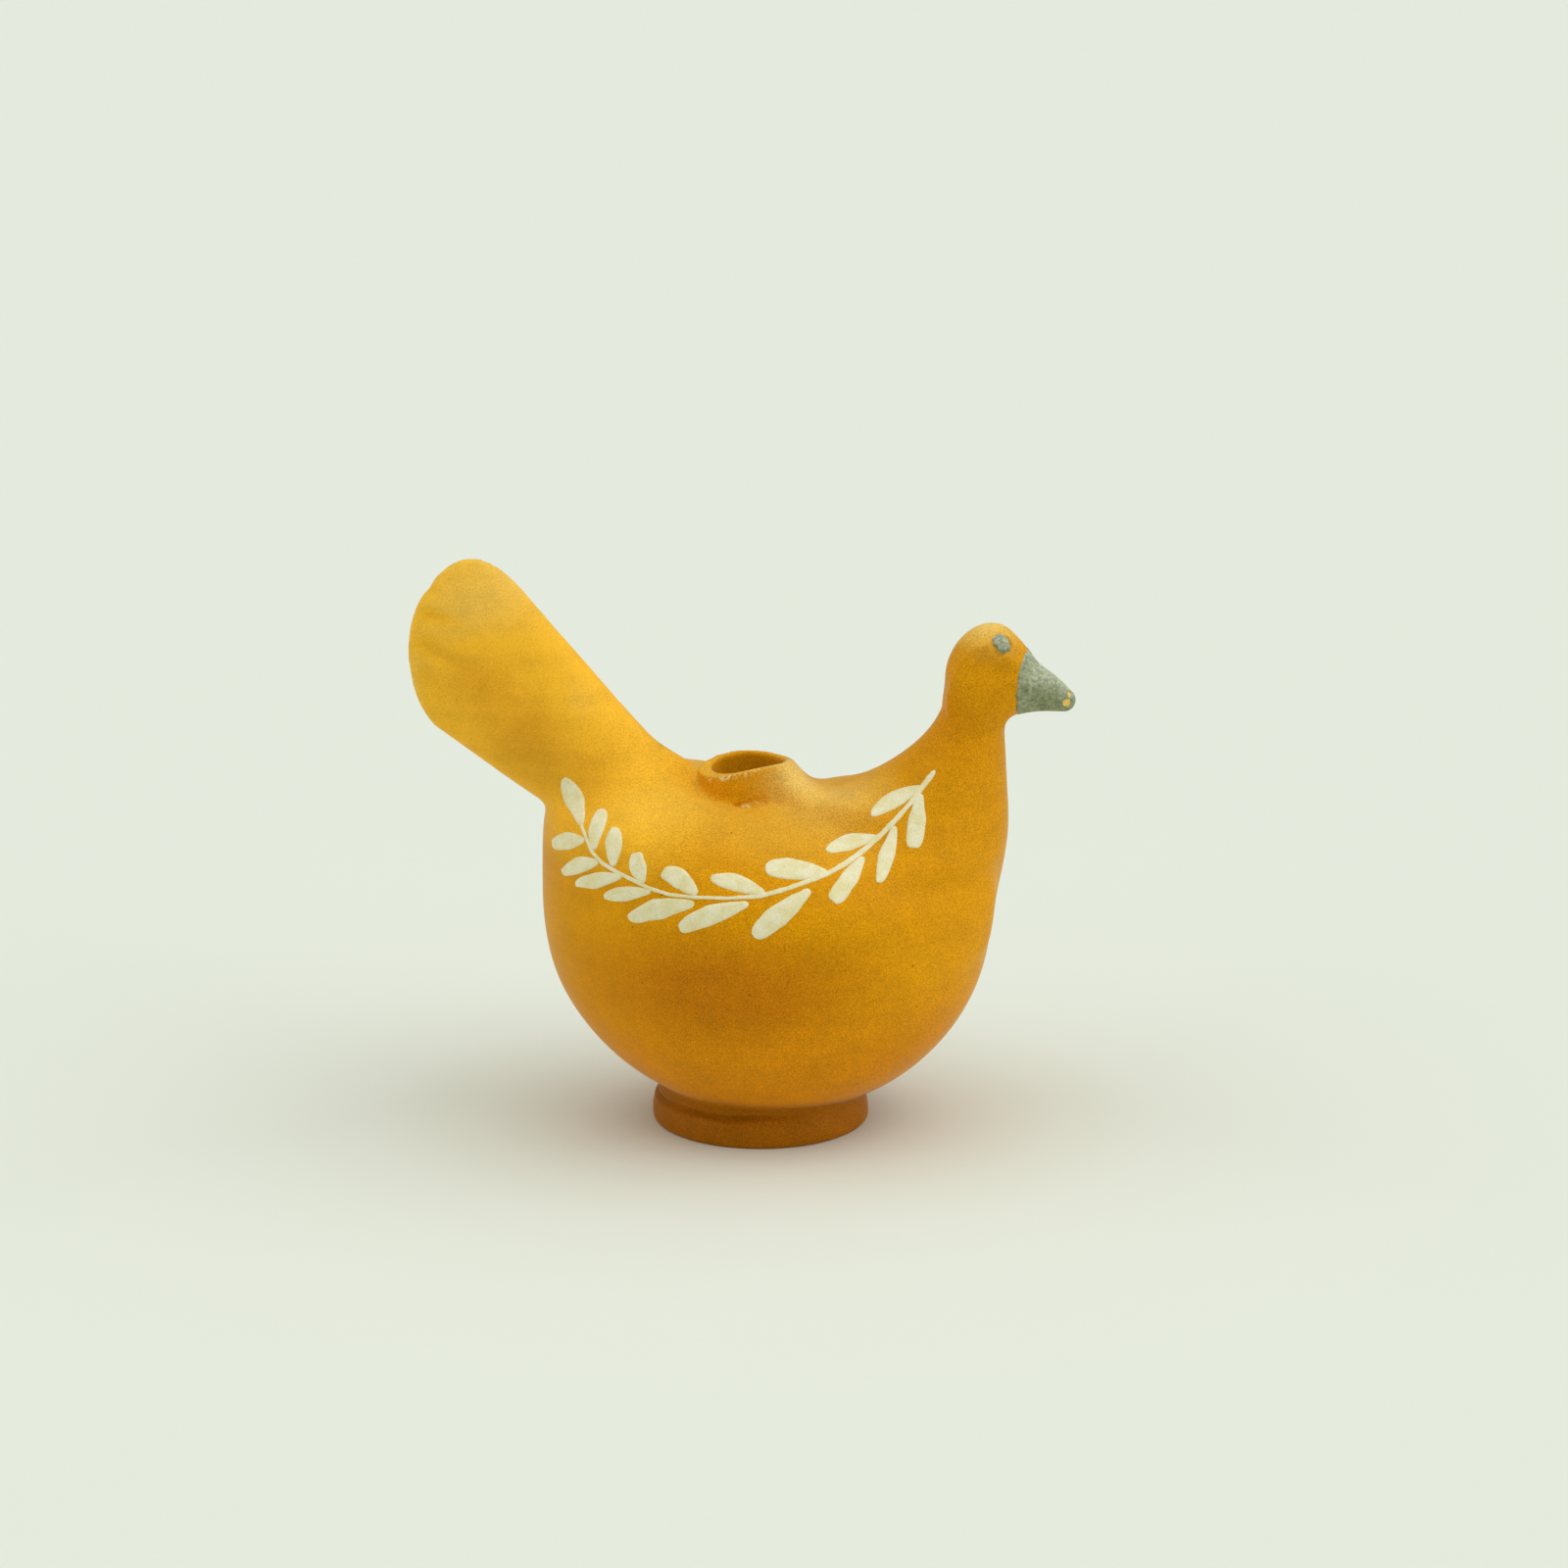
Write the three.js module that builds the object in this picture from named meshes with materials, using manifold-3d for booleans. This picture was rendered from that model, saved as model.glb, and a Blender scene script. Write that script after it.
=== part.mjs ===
// Bud vase in the form of a sitting bird, hand-built in ochre earthenware.
// Millimetres, +Z up, the head towards +X, the origin on the table under the middle of the bird.

import * as THREE from 'three';
import { LoftGeometry } from 'three/addons/geometries/LoftGeometry.js';
import { mergeVertices } from 'three/addons/utils/BufferGeometryUtils.js';
import Module from 'manifold-3d';

const wasm = await Module();
wasm.setup();
const { lerp, degToRad, clamp } = THREE.MathUtils;

// Clay in general
const WALL = 4; // pinched wall of the body
const JOINT = 0.3; // line of slip between two pieces of clay
const SCARF = 2; // height of the bevel where the two halves of the body meet

// Body: two pinched halves that meet at the widest level, whose middle is X = 0 until the end
const BODY_LENGTH = 95;
const BODY_WIDTH = 82;
const BOWL_DEPTH = 46.5; // from the widest level down to the underside
const BOWL_SHIFT = 3; // the lowest point lies this far towards the head
const BOWL_SQUARENESS = 2.2; // 2 is an ellipse, more is boxier
const BACK_RISE = 23; // from the widest level up to the back
const BACK_SLOPE = 0.07; // the back falls by this much per millimetre towards the head
const BACK_SQUARENESS = 2;
const TAIL_END_SQUARENESS = 6;

// Foot ring: a coil of clay under the bowl
const FOOT_LIFT = 3.5; // from the table to the underside of the bowl
const FOOT_SHIFT = -1.6; // from the middle of the body
const FOOT_DIAMETER = 44.8;
const FOOT_HOLLOW = 28; // diameter of the hollow inside the ring
const FOOT_BULGE_Z = 2.6; // height of the fullest part of the coil
const FOOT_EDGE = 1; // the lower edges are rounded by this much
const FOOT_TAPER = 1.2; // the ring draws in by this much towards the bowl
const FOOT_WAIST_Z = 7.8; // height where it has drawn in

// Mouth: a short collar on the back
const MOUTH_SHIFT = -4.1; // from the middle of the body
const MOUTH_BORE = 15.2;
const MOUTH_WALL = 2.6;
const COLLAR_HEIGHT = 4.5; // above the back
const COLLAR_FLARE = 5; // buttress at the foot of the collar, on the head side
const COLLAR_EMBED = 5; // hidden length under the surface of the back
const RIM_TILT = 5.5; // degrees, higher towards the head
const RIM_ROUNDING = 0.9;

// Neck: rises from the breast, with a long slope down to the back
const NECK_HEIGHT = 20; // above the back
const NECK_LENGTH = 13.2; // under the head, from front to back
const NECK_WIDTH = 15;
const NECK_SLOPE_LENGTH = 29; // along the back
const NECK_SLOPE_SINK = 2; // the slope ends this far under the back
const NECK_SLOPE_SQUARENESS = 1.65;
const NECK_SPREAD = 35; // how much wider the breast is than the neck
const NECK_SPREAD_DROP = 32; // from the top down to the full width
const NECK_SPREAD_CURVE = 1.2; // 1 is straight, more is hollow
const NECK_EMBED = 6; // hidden length below the widest level
const BREAST_OVERHANG = 2.6; // the breast stands this far before the body
const BREAST_RAISE = 18; // height of its foremost line above the widest level
const BREAST_CURVE_UP = 26; // larger is straighter, above the foremost line
const BREAST_CURVE_DOWN = 13; // and below it

// Head and bill: one drop shape, its axis pointing down to the tip of the bill
const HEAD_SHIFT = 8.3; // from the back of the neck to the middle of the head
const HEAD_RAISE = 4.9; // from the top of the neck to the middle of the head
const HEAD_LONG = 15.8;
const HEAD_TALL = 20.8;
const HEAD_WIDTH = 15;
const BILL_REACH = 16.6; // from the middle of the head to the middle of the rounded tip
const BILL_DROP = 6.4;
const BILL_TIP_RADIUS = 2.5;
const BILL_LINE_SHIFT = 7; // hindmost point of the line between bill and head
const BILL_LINE_DROP = 5.9;
const BILL_LINE_RADIUS = 24;

// Eyes: oval dabs of slip, each in a dimple
const EYE_ELEVATION = 50; // degrees above the side of the head
const EYE_BEARING = 11; // degrees towards the bill
const EYE_LONG = 4.1;
const EYE_TALL = 3.4;
const EYE_THICK = 1.4;
const EYE_TURN = 50; // degrees, the long way points forward and down

// Tail: an upright paddle that rises from the back
const TAIL_INSET = 9.6; // its middle line leaves the body this far from the end
const TAIL_RAISE = 6; // and this far above the back
const TAIL_ANGLE = 43.3; // degrees above level
const TAIL_LENGTH = 48.7;
const TAIL_ROOT_HEIGHT = 26.2;
const TAIL_HEIGHT = 33.4;
const TAIL_SHOULDER = 28; // where the rounded end begins
const TAIL_END_LIFT = 7; // the end leans up from the middle line
const TAIL_END_CURVE = 1.5;
const TAIL_END_FULLNESS = 2.3;
const TAIL_ROOT_THICKNESS = 22;
const TAIL_END_THICKNESS = 7;
const TAIL_EMBED = 24; // hidden length inside the body

// Sprigs: a garland of leaves painted in thick white slip on each side
const SLIP_THICKNESS = 0.4;
const STEM_BASE_WIDTH = 1.8;
const STEM_TIP_WIDTH = 1;
const STEM_ALONG = [0.72, 0.55, 0.26, -0.12, -0.43, -0.68, -0.82]; // shares of half the body's length
const STEM_UP = [1.25, 0.86, 0.57, 0.43, 0.44, 0.6, 0.87]; // shares of the rise of the back
const LEAVES_ABOVE = 8;
const LEAVES_BELOW = 10;
const FIRST_LEAF_PLACE = 0.3; // from the base of the stem, in spaces between leaves
const LEAF_CROWDING = 1.45; // 1 is evenly spaced, more is closer towards the tip
const LEAF_BASE_WIDTH = 4.3;
const LEAF_TIP_WIDTH = 3.4;
const LEAF_BASE_LENGTH = 11; // on the neck
const LEAF_TIP_LENGTH = 6.8; // by the tail
const LEAF_SWELL = 5; // how much longer the leaves below the middle of the stem are
const LEAF_BASE_LEAN = 24; // degrees from the stem
const LEAF_TIP_LEAN = 70;
const LEAF_LEAN_CURVE = 2.6; // 1 turns the leaves evenly, more turns them near the tip
const END_LEAF_PLACE = 0.98; // share of the stem, so the last leaf covers its end

// Fineness of the facets
const TURNS = 48;
const LIMB_TURNS = 32;
const EYE_TURNS = 16;
const BOWL_ROWS = 10;
const BACK_ROWS = 8;
const NECK_ROWS = 14;
const HEAD_ROWS = 9;
const TIP_ROWS = 4;
const TAIL_ROWS = 8;
const TAIL_END_ROWS = 7;
const STEM_STEPS = 24;
const LEAF_STEPS = 4;
const WELD = 1e-4;

// Places that follow from the sizes
const halfLength = BODY_LENGTH / 2;
const halfWidth = BODY_WIDTH / 2;
const widestZ = FOOT_LIFT + BOWL_DEPTH;
const backZ = widestZ + BACK_RISE;
const neckTopZ = backZ + NECK_HEIGHT;
const breastX = halfLength + BREAST_OVERHANG;
const neckBackX = breastX - NECK_LENGTH;
const headMiddle = new THREE.Vector3(neckBackX + HEAD_SHIFT, 0, neckTopZ + HEAD_RAISE);
const billTip = new THREE.Vector3(headMiddle.x + BILL_REACH, 0, headMiddle.z - BILL_DROP);
const tailRoot = new THREE.Vector3(TAIL_INSET - halfLength, 0, backZ + TAIL_RAISE);

const forward = new THREE.Vector3(1, 0, 0);
const sideways = new THREE.Vector3(0, 1, 0);

// A closed geometry as a solid that can be joined and cut
function solidFrom(geometry) {
  const bare = new THREE.BufferGeometry();
  bare.setAttribute('position', geometry.attributes.position);
  bare.setIndex(geometry.index);
  const welded = mergeVertices(bare, WELD);
  const corners = welded.index.array;
  const triVerts = [];
  for (let i = 0; i < corners.length; i += 3) {
    const [a, b, c] = corners.slice(i, i + 3);
    if (a !== b && b !== c && c !== a) triVerts.push(a, b, c);
  }
  const mesh = new wasm.Mesh({
    numProp: 3,
    vertProperties: welded.attributes.position.array,
    triVerts: new Uint32Array(triVerts),
  });
  return new wasm.Manifold(mesh);
}

// A solid as a named piece with its own finish
function pieceFrom(name, solid, finish) {
  const { vertProperties, triVerts } = solid.getMesh();
  const geometry = new THREE.BufferGeometry();
  geometry.setAttribute('position', new THREE.BufferAttribute(vertProperties, 3));
  geometry.setIndex(new THREE.BufferAttribute(triVerts, 1));
  geometry.computeVertexNormals();
  const piece = new THREE.Mesh(geometry, new THREE.MeshStandardMaterial(finish));
  piece.name = name;
  return piece;
}

// An oval ring of points round a centre, turning from one direction to another
function ovalRing(centre, fromWay, toWay, fromHalf, toHalf) {
  const ring = [];
  for (let i = 0; i < LIMB_TURNS; i++) {
    const angle = (i / LIMB_TURNS) * 2 * Math.PI;
    const point = centre.clone();
    point.addScaledVector(fromWay, fromHalf * Math.cos(angle));
    point.addScaledVector(toWay, toHalf * Math.sin(angle));
    ring.push(point);
  }
  return ring;
}

// Height share of a rounded profile: 1 on the axis, 0 at full reach
function profileHeight(reach, squareness) {
  return Math.pow(Math.max(0, 1 - Math.pow(reach, squareness)), 1 / squareness);
}

// A point of one half of the body, by its reach from the axis and its angle round it
function bodyPoint(isBack, reach, angle, grow, rimZ) {
  const axisX = isBack ? MOUTH_SHIFT : BOWL_SHIFT;
  const long = halfLength + grow;
  const wide = halfWidth + grow;
  const x = lerp(axisX, 0, reach) + long * reach * Math.cos(angle);
  const y = lerp(long, wide, reach) * reach * Math.sin(angle);
  const tailward = Math.max(0, -Math.cos(angle)) ** 2;
  const backSquareness = lerp(BACK_SQUARENESS, TAIL_END_SQUARENESS, tailward);
  const topZ = backZ + grow - BACK_SLOPE * (x - MOUTH_SHIFT);
  const underZ = FOOT_LIFT - grow;
  const height = profileHeight(reach, isBack ? backSquareness : BOWL_SQUARENESS);
  return new THREE.Vector3(x, y, lerp(rimZ, isBack ? topZ : underZ, height));
}

// Rows of one half of the body, from its widest level to its axis, finer where the profile is steep
function bodyRows(isBack, grow, rimZ) {
  const count = isBack ? BACK_ROWS : BOWL_ROWS;
  const rows = [];
  for (let row = 0; row <= count; row++) {
    const reach = 1 - (row / count) ** 2;
    const ring = [];
    for (let i = 0; i < TURNS; i++) {
      ring.push(bodyPoint(isBack, reach, (i / TURNS) * 2 * Math.PI, grow, rimZ));
    }
    rows.push(ring);
  }
  return rows;
}

// The whole body as one block, grown all round, for cutting what is set on it
function bodyBlock(grow) {
  const under = bodyRows(false, grow, widestZ).reverse();
  const over = bodyRows(true, grow, widestZ);
  return solidFrom(new LoftGeometry([...under, ...over.slice(1)]));
}

// Lower half: a deep pinched bowl whose rim is bevelled up towards the inside
function lowerBowl() {
  const outside = bodyRows(false, 0, widestZ).reverse();
  const inside = bodyRows(false, -WALL, widestZ + SCARF);
  return solidFrom(new LoftGeometry([...outside, ...inside]));
}

// Upper half: a shallow pinched lid that sits on the bevel, with the hole under the mouth
function upperBack() {
  const outside = bodyRows(true, 0, widestZ + JOINT);
  const inside = bodyRows(true, -WALL, widestZ + SCARF + JOINT).reverse();
  const lid = solidFrom(new LoftGeometry([...outside, ...inside, outside[0]]));
  const hole = new THREE.CylinderGeometry(MOUTH_BORE / 2, MOUTH_BORE / 2, BACK_RISE, LIMB_TURNS);
  hole.rotateX(Math.PI / 2);
  hole.translate(MOUTH_SHIFT, 0, backZ);
  return lid.subtract(solidFrom(hole));
}

// Foot ring: a coil whose upper side takes the curve of the bowl
function footRing() {
  const outer = FOOT_DIAMETER / 2;
  const inner = FOOT_HOLLOW / 2;
  const hiddenZ = FOOT_LIFT + BOWL_DEPTH / 2;
  const profile = [
    new THREE.Vector2(inner, hiddenZ),
    new THREE.Vector2(inner, FOOT_EDGE),
    new THREE.Vector2(inner + FOOT_EDGE, 0),
    new THREE.Vector2(outer - FOOT_EDGE, 0),
    new THREE.Vector2(outer, FOOT_BULGE_Z),
    new THREE.Vector2(outer - FOOT_TAPER, FOOT_WAIST_Z),
    new THREE.Vector2(outer - FOOT_TAPER, hiddenZ),
    new THREE.Vector2(inner, hiddenZ),
  ];
  const coil = new THREE.LatheGeometry(profile, TURNS);
  coil.rotateX(Math.PI / 2);
  coil.translate(FOOT_SHIFT, 0, 0);
  return solidFrom(coil).subtract(bodyBlock(JOINT));
}

// Mouth collar with its hidden foot: tilted rim, straight bore, and a buttress towards the head
function collarBlock(grow) {
  const bore = MOUTH_BORE / 2;
  const outer = bore + MOUTH_WALL + grow;
  const ringAt = (radius, drop, flare) => {
    const ring = [];
    for (let i = 0; i < LIMB_TURNS; i++) {
      const angle = (i / LIMB_TURNS) * 2 * Math.PI;
      const reach = radius + flare * Math.max(0, Math.cos(angle)) ** 2;
      const rim = backZ + COLLAR_HEIGHT + Math.tan(degToRad(RIM_TILT)) * radius * Math.cos(angle);
      const x = MOUTH_SHIFT + reach * Math.cos(angle);
      ring.push(new THREE.Vector3(x, reach * Math.sin(angle), rim - drop));
    }
    return ring;
  };
  const flareAt = (drop) => COLLAR_FLARE * (drop / COLLAR_HEIGHT);
  const footDrop = COLLAR_HEIGHT + COLLAR_EMBED;
  const foot = ringAt(outer, footDrop, flareAt(footDrop));
  const rows = [
    foot,
    ringAt(outer, COLLAR_HEIGHT, flareAt(COLLAR_HEIGHT)),
    ringAt(outer, RIM_ROUNDING, flareAt(RIM_ROUNDING)),
    ringAt(outer - RIM_ROUNDING, 0, 0),
    ringAt(bore + RIM_ROUNDING / 2, 0, 0),
    ringAt(bore, RIM_ROUNDING, 0),
    ringAt(bore, footDrop, 0),
    foot,
  ];
  return solidFrom(new LoftGeometry(rows));
}

// Neck as level ovals: the breast in front, the long slope behind
function neckBlock(grow) {
  const breastZ = widestZ + BREAST_RAISE;
  const rows = [];
  for (let row = 0; row <= NECK_ROWS; row++) {
    const z = lerp(widestZ - NECK_EMBED, neckTopZ, row / NECK_ROWS);
    const drop = neckTopZ - z;
    const slopeDrop = Math.min(1, drop / (NECK_HEIGHT + NECK_SLOPE_SINK));
    const slope = 1 - profileHeight(slopeDrop, NECK_SLOPE_SQUARENESS);
    const spread = Math.min(1, drop / NECK_SPREAD_DROP) ** NECK_SPREAD_CURVE;
    const curve = z > breastZ ? BREAST_CURVE_UP : BREAST_CURVE_DOWN;
    const back = neckBackX - NECK_SLOPE_LENGTH * slope - grow;
    const front = breastX - ((z - breastZ) / curve) ** 2 + grow;
    const centre = new THREE.Vector3((back + front) / 2, 0, z);
    const wide = (NECK_WIDTH + NECK_SPREAD * spread) / 2 + grow;
    rows.push(ovalRing(centre, forward, sideways, (front - back) / 2, wide));
  }
  return solidFrom(new LoftGeometry(rows, { capStart: true, capEnd: true }));
}

// The head's axis runs from its middle to the tip of the bill
const headAxis = billTip.clone().sub(headMiddle).normalize();
const headUp = new THREE.Vector3(-headAxis.z, 0, headAxis.x);

// Head and bill together: an oval and a small round tip with a taut skin over both, turned on the axis
function headBlock(grow) {
  const long = HEAD_LONG / 2 + grow;
  const tall = HEAD_TALL / 2 + grow;
  const wide = HEAD_WIDTH / 2 + grow;
  const tip = BILL_TIP_RADIUS + grow;
  const reach = billTip.distanceTo(headMiddle);
  // The straight side touches the oval and the tip where both face the same way
  const a = long ** 2 - tall ** 2 - reach ** 2;
  const halfB = -reach * tip;
  const c = tall ** 2 - tip ** 2;
  const facing = Math.acos((-halfB - Math.sqrt(halfB ** 2 - a * c)) / a);
  const profile = [];
  for (let i = 0; i <= HEAD_ROWS; i++) {
    const angle = lerp(Math.PI, facing, i / HEAD_ROWS);
    const size = Math.hypot(long * Math.cos(angle), tall * Math.sin(angle));
    const radius = (tall ** 2 * Math.sin(angle)) / size;
    profile.push(new THREE.Vector2(radius, (long ** 2 * Math.cos(angle)) / size));
  }
  for (let i = 0; i <= TIP_ROWS; i++) {
    const angle = lerp(facing, 0, i / TIP_ROWS);
    profile.push(new THREE.Vector2(tip * Math.sin(angle), reach + tip * Math.cos(angle)));
  }
  const drop = new THREE.LatheGeometry(profile, LIMB_TURNS);
  drop.scale(1, 1, wide / tall);
  drop.applyMatrix4(new THREE.Matrix4().makeBasis(headUp, headAxis, sideways));
  drop.translate(headMiddle.x, 0, headMiddle.z);
  return solidFrom(drop);
}

// Round block whose surface is the line between bill and head
function billSide(grow) {
  const radius = BILL_LINE_RADIUS + grow;
  const block = new THREE.CylinderGeometry(radius, radius, HEAD_WIDTH * 2, TURNS * 2);
  block.translate(headMiddle.x + BILL_LINE_SHIFT + BILL_LINE_RADIUS, 0, headMiddle.z - BILL_LINE_DROP);
  return solidFrom(block);
}

// Eye: an oval dab half sunk in the side of the head
function eyeDab(side, grow) {
  const up = Math.sin(degToRad(EYE_ELEVATION));
  const along = Math.cos(degToRad(EYE_ELEVATION)) * Math.sin(degToRad(EYE_BEARING));
  const out = Math.cos(degToRad(EYE_ELEVATION)) * Math.cos(degToRad(EYE_BEARING)) * side;
  const place = headMiddle.clone();
  place.addScaledVector(headAxis, (along * HEAD_LONG) / 2);
  place.addScaledVector(headUp, (up * HEAD_TALL) / 2);
  place.addScaledVector(sideways, (out * HEAD_WIDTH) / 2);
  const facing = new THREE.Vector3();
  facing.addScaledVector(headAxis, along / HEAD_LONG);
  facing.addScaledVector(headUp, up / HEAD_TALL);
  facing.addScaledVector(sideways, out / HEAD_WIDTH);
  facing.normalize();
  const level = forward.clone().projectOnPlane(facing).normalize();
  const rising = facing.clone().cross(level);
  const dab = new THREE.SphereGeometry(1, EYE_TURNS, EYE_TURNS / 2);
  dab.scale(EYE_LONG / 2 + grow, EYE_TALL / 2 + grow, EYE_THICK / 2 + grow);
  dab.rotateZ(degToRad(EYE_TURN) * side);
  dab.applyMatrix4(new THREE.Matrix4().makeBasis(level, rising, facing));
  dab.translate(place.x, place.y, place.z);
  return solidFrom(dab);
}

// Tail as ovals square to its middle line: a thick root, a flat blade and a rounded end that leans up
function tailBlock(grow) {
  const angle = degToRad(TAIL_ANGLE);
  const along = new THREE.Vector3(-Math.cos(angle), 0, Math.sin(angle));
  const across = new THREE.Vector3(Math.sin(angle), 0, Math.cos(angle));
  const endLength = TAIL_LENGTH - TAIL_SHOULDER + grow;
  const rows = [];
  const addRow = (distance, height) => {
    const end = Math.max(0, distance - TAIL_SHOULDER) / endLength;
    const fullness = profileHeight(Math.min(1, end), TAIL_END_FULLNESS);
    const thickness = lerp(TAIL_ROOT_THICKNESS, TAIL_END_THICKNESS, clamp(distance / TAIL_LENGTH, 0, 1));
    const centre = tailRoot.clone();
    centre.addScaledVector(along, distance);
    centre.addScaledVector(across, TAIL_END_LIFT * end ** TAIL_END_CURVE);
    const halfHeight = (height / 2 + grow) * fullness;
    const halfThickness = (thickness / 2 + grow) * Math.sqrt(fullness);
    rows.push(ovalRing(centre, across, sideways, halfHeight, halfThickness));
  };
  for (let row = 0; row < TAIL_ROWS; row++) {
    const distance = lerp(-TAIL_EMBED, TAIL_SHOULDER, row / TAIL_ROWS);
    addRow(distance, lerp(TAIL_ROOT_HEIGHT, TAIL_HEIGHT, distance / TAIL_SHOULDER));
  }
  for (let row = 0; row <= TAIL_END_ROWS; row++) {
    const distance = TAIL_SHOULDER + endLength * Math.sin(((row / TAIL_END_ROWS) * Math.PI) / 2);
    addRow(distance, TAIL_HEIGHT);
  }
  return solidFrom(new LoftGeometry(rows, { capStart: true }));
}

// Line of the stem seen from the side, from its base on the neck to its tip by the tail
function stemLine() {
  const place = (along, i) => new THREE.Vector2(along * halfLength, widestZ + STEM_UP[i] * BACK_RISE);
  const points = STEM_ALONG.map(place);
  return new THREE.SplineCurve(points);
}

// A flat shape drawn from the side, carried through one half of the bird
function throughSide(shape, side) {
  const depth = BODY_WIDTH;
  const block = new THREE.ExtrudeGeometry(shape, { depth, bevelEnabled: false, curveSegments: LEAF_STEPS });
  block.rotateX(Math.PI / 2);
  block.translate(0, side > 0 ? depth : 0, 0);
  return solidFrom(block);
}

// The stem as a ribbon that narrows towards its tip
function stemShape(line) {
  const above = [];
  const below = [];
  for (let i = 0; i <= STEM_STEPS; i++) {
    const share = i / STEM_STEPS;
    const point = line.getPointAt(share);
    const way = line.getTangentAt(share);
    const half = lerp(STEM_BASE_WIDTH, STEM_TIP_WIDTH, share) / 2;
    above.push(new THREE.Vector2(point.x + way.y * half, point.y - way.x * half));
    below.unshift(new THREE.Vector2(point.x - way.y * half, point.y + way.x * half));
  }
  return new THREE.Shape([...above, ...below]);
}

// A leaf with a narrow base and a full, blunt end, drawn in shares of its length and width
function leafShape(base, angle, length, width) {
  const at = (along, across) => {
    const point = new THREE.Vector2(along * length, across * width).add(base);
    return point.rotateAround(base, angle);
  };
  const leaf = new THREE.Shape();
  const start = at(0, 0.1);
  leaf.moveTo(start.x, start.y);
  for (const [first, second, end] of [
    [at(0.25, 0.55), at(0.6, 0.6), at(0.85, 0.35)],
    [at(1, 0.2), at(1, -0.2), at(0.85, -0.35)],
    [at(0.6, -0.6), at(0.25, -0.55), at(0, -0.1)],
  ]) {
    leaf.bezierCurveTo(first.x, first.y, second.x, second.y, end.x, end.y);
  }
  return leaf;
}

// Sprig: stem and leaves as a layer of slip that follows the body, the neck and the root of the tail
function sprig(side) {
  const line = stemLine();
  const blocks = [throughSide(stemShape(line), side)];
  const addLeaf = (share, turn) => {
    const way = line.getTangentAt(share).angle();
    const lean = turn * lerp(LEAF_BASE_LEAN, LEAF_TIP_LEAN, share ** LEAF_LEAN_CURVE);
    const swell = Math.max(0, turn) * LEAF_SWELL * Math.sin(Math.PI * share) ** 2;
    const length = lerp(LEAF_BASE_LENGTH, LEAF_TIP_LENGTH, share) + swell;
    const width = lerp(LEAF_BASE_WIDTH, LEAF_TIP_WIDTH, share);
    const leaf = leafShape(line.getPointAt(share), way + degToRad(lean), length, width);
    blocks.push(throughSide(leaf, side));
  };
  for (const [count, turn] of [[LEAVES_ABOVE, -1], [LEAVES_BELOW, 1]]) {
    for (let i = 0; i < count; i++) {
      const evenShare = (i + FIRST_LEAF_PLACE) / (count + FIRST_LEAF_PLACE);
      addLeaf(1 - (1 - evenShare) ** LEAF_CROWDING, turn);
    }
  }
  addLeaf(END_LEAF_PLACE, 0);
  const skin = (grow) => bodyBlock(grow).add(neckBlock(grow)).add(tailBlock(grow));
  const layer = skin(JOINT + SLIP_THICKNESS).subtract(skin(JOINT));
  return wasm.Manifold.union(blocks).intersect(layer);
}

// Putting the bird together
const body = bodyBlock(JOINT);
const collarRoom = collarBlock(JOINT);
const dimples = eyeDab(-1, JOINT).add(eyeDab(1, JOINT));
const wholeHead = headBlock(0);
const clay = { color: 0xd9a215, roughness: 0.7 };
const greySlip = { color: 0x848b69, roughness: 0.85 };
const whiteSlip = { color: 0xd8cfa0, roughness: 0.85 };

const bird = new THREE.Group();
bird.add(
  pieceFrom('foot_ring', footRing(), clay),
  pieceFrom('lower_bowl', lowerBowl(), clay),
  pieceFrom('upper_back', upperBack(), clay),
  pieceFrom('mouth_collar', collarBlock(0).subtract(body), clay),
  pieceFrom('neck', neckBlock(0).subtract(body).subtract(collarRoom).subtract(headBlock(JOINT)), clay),
  pieceFrom('head', wholeHead.subtract(billSide(0)).subtract(dimples), clay),
  pieceFrom('beak', wholeHead.intersect(billSide(-JOINT)), greySlip),
  pieceFrom('eye_left', eyeDab(1, 0), greySlip),
  pieceFrom('eye_right', eyeDab(-1, 0), greySlip),
  pieceFrom('tail', tailBlock(0).subtract(body).subtract(collarRoom), clay),
  pieceFrom('sprig_left', sprig(1), whiteSlip),
  pieceFrom('sprig_right', sprig(-1), whiteSlip),
);

// The origin lies under the middle of the whole bird
const box = new THREE.Box3().setFromObject(bird);
bird.position.x = -(box.min.x + box.max.x) / 2;

export default bird;
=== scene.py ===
# %% [markdown]
# # A bud vase in the shape of a sitting bird
# The real vase is pinched and coiled by hand from earthenware, covered in ochre slip and painted with a
# white sprig, grey eyes and a grey beak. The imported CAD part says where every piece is. This lesson makes
# it look fired.

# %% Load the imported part
import math

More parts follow.
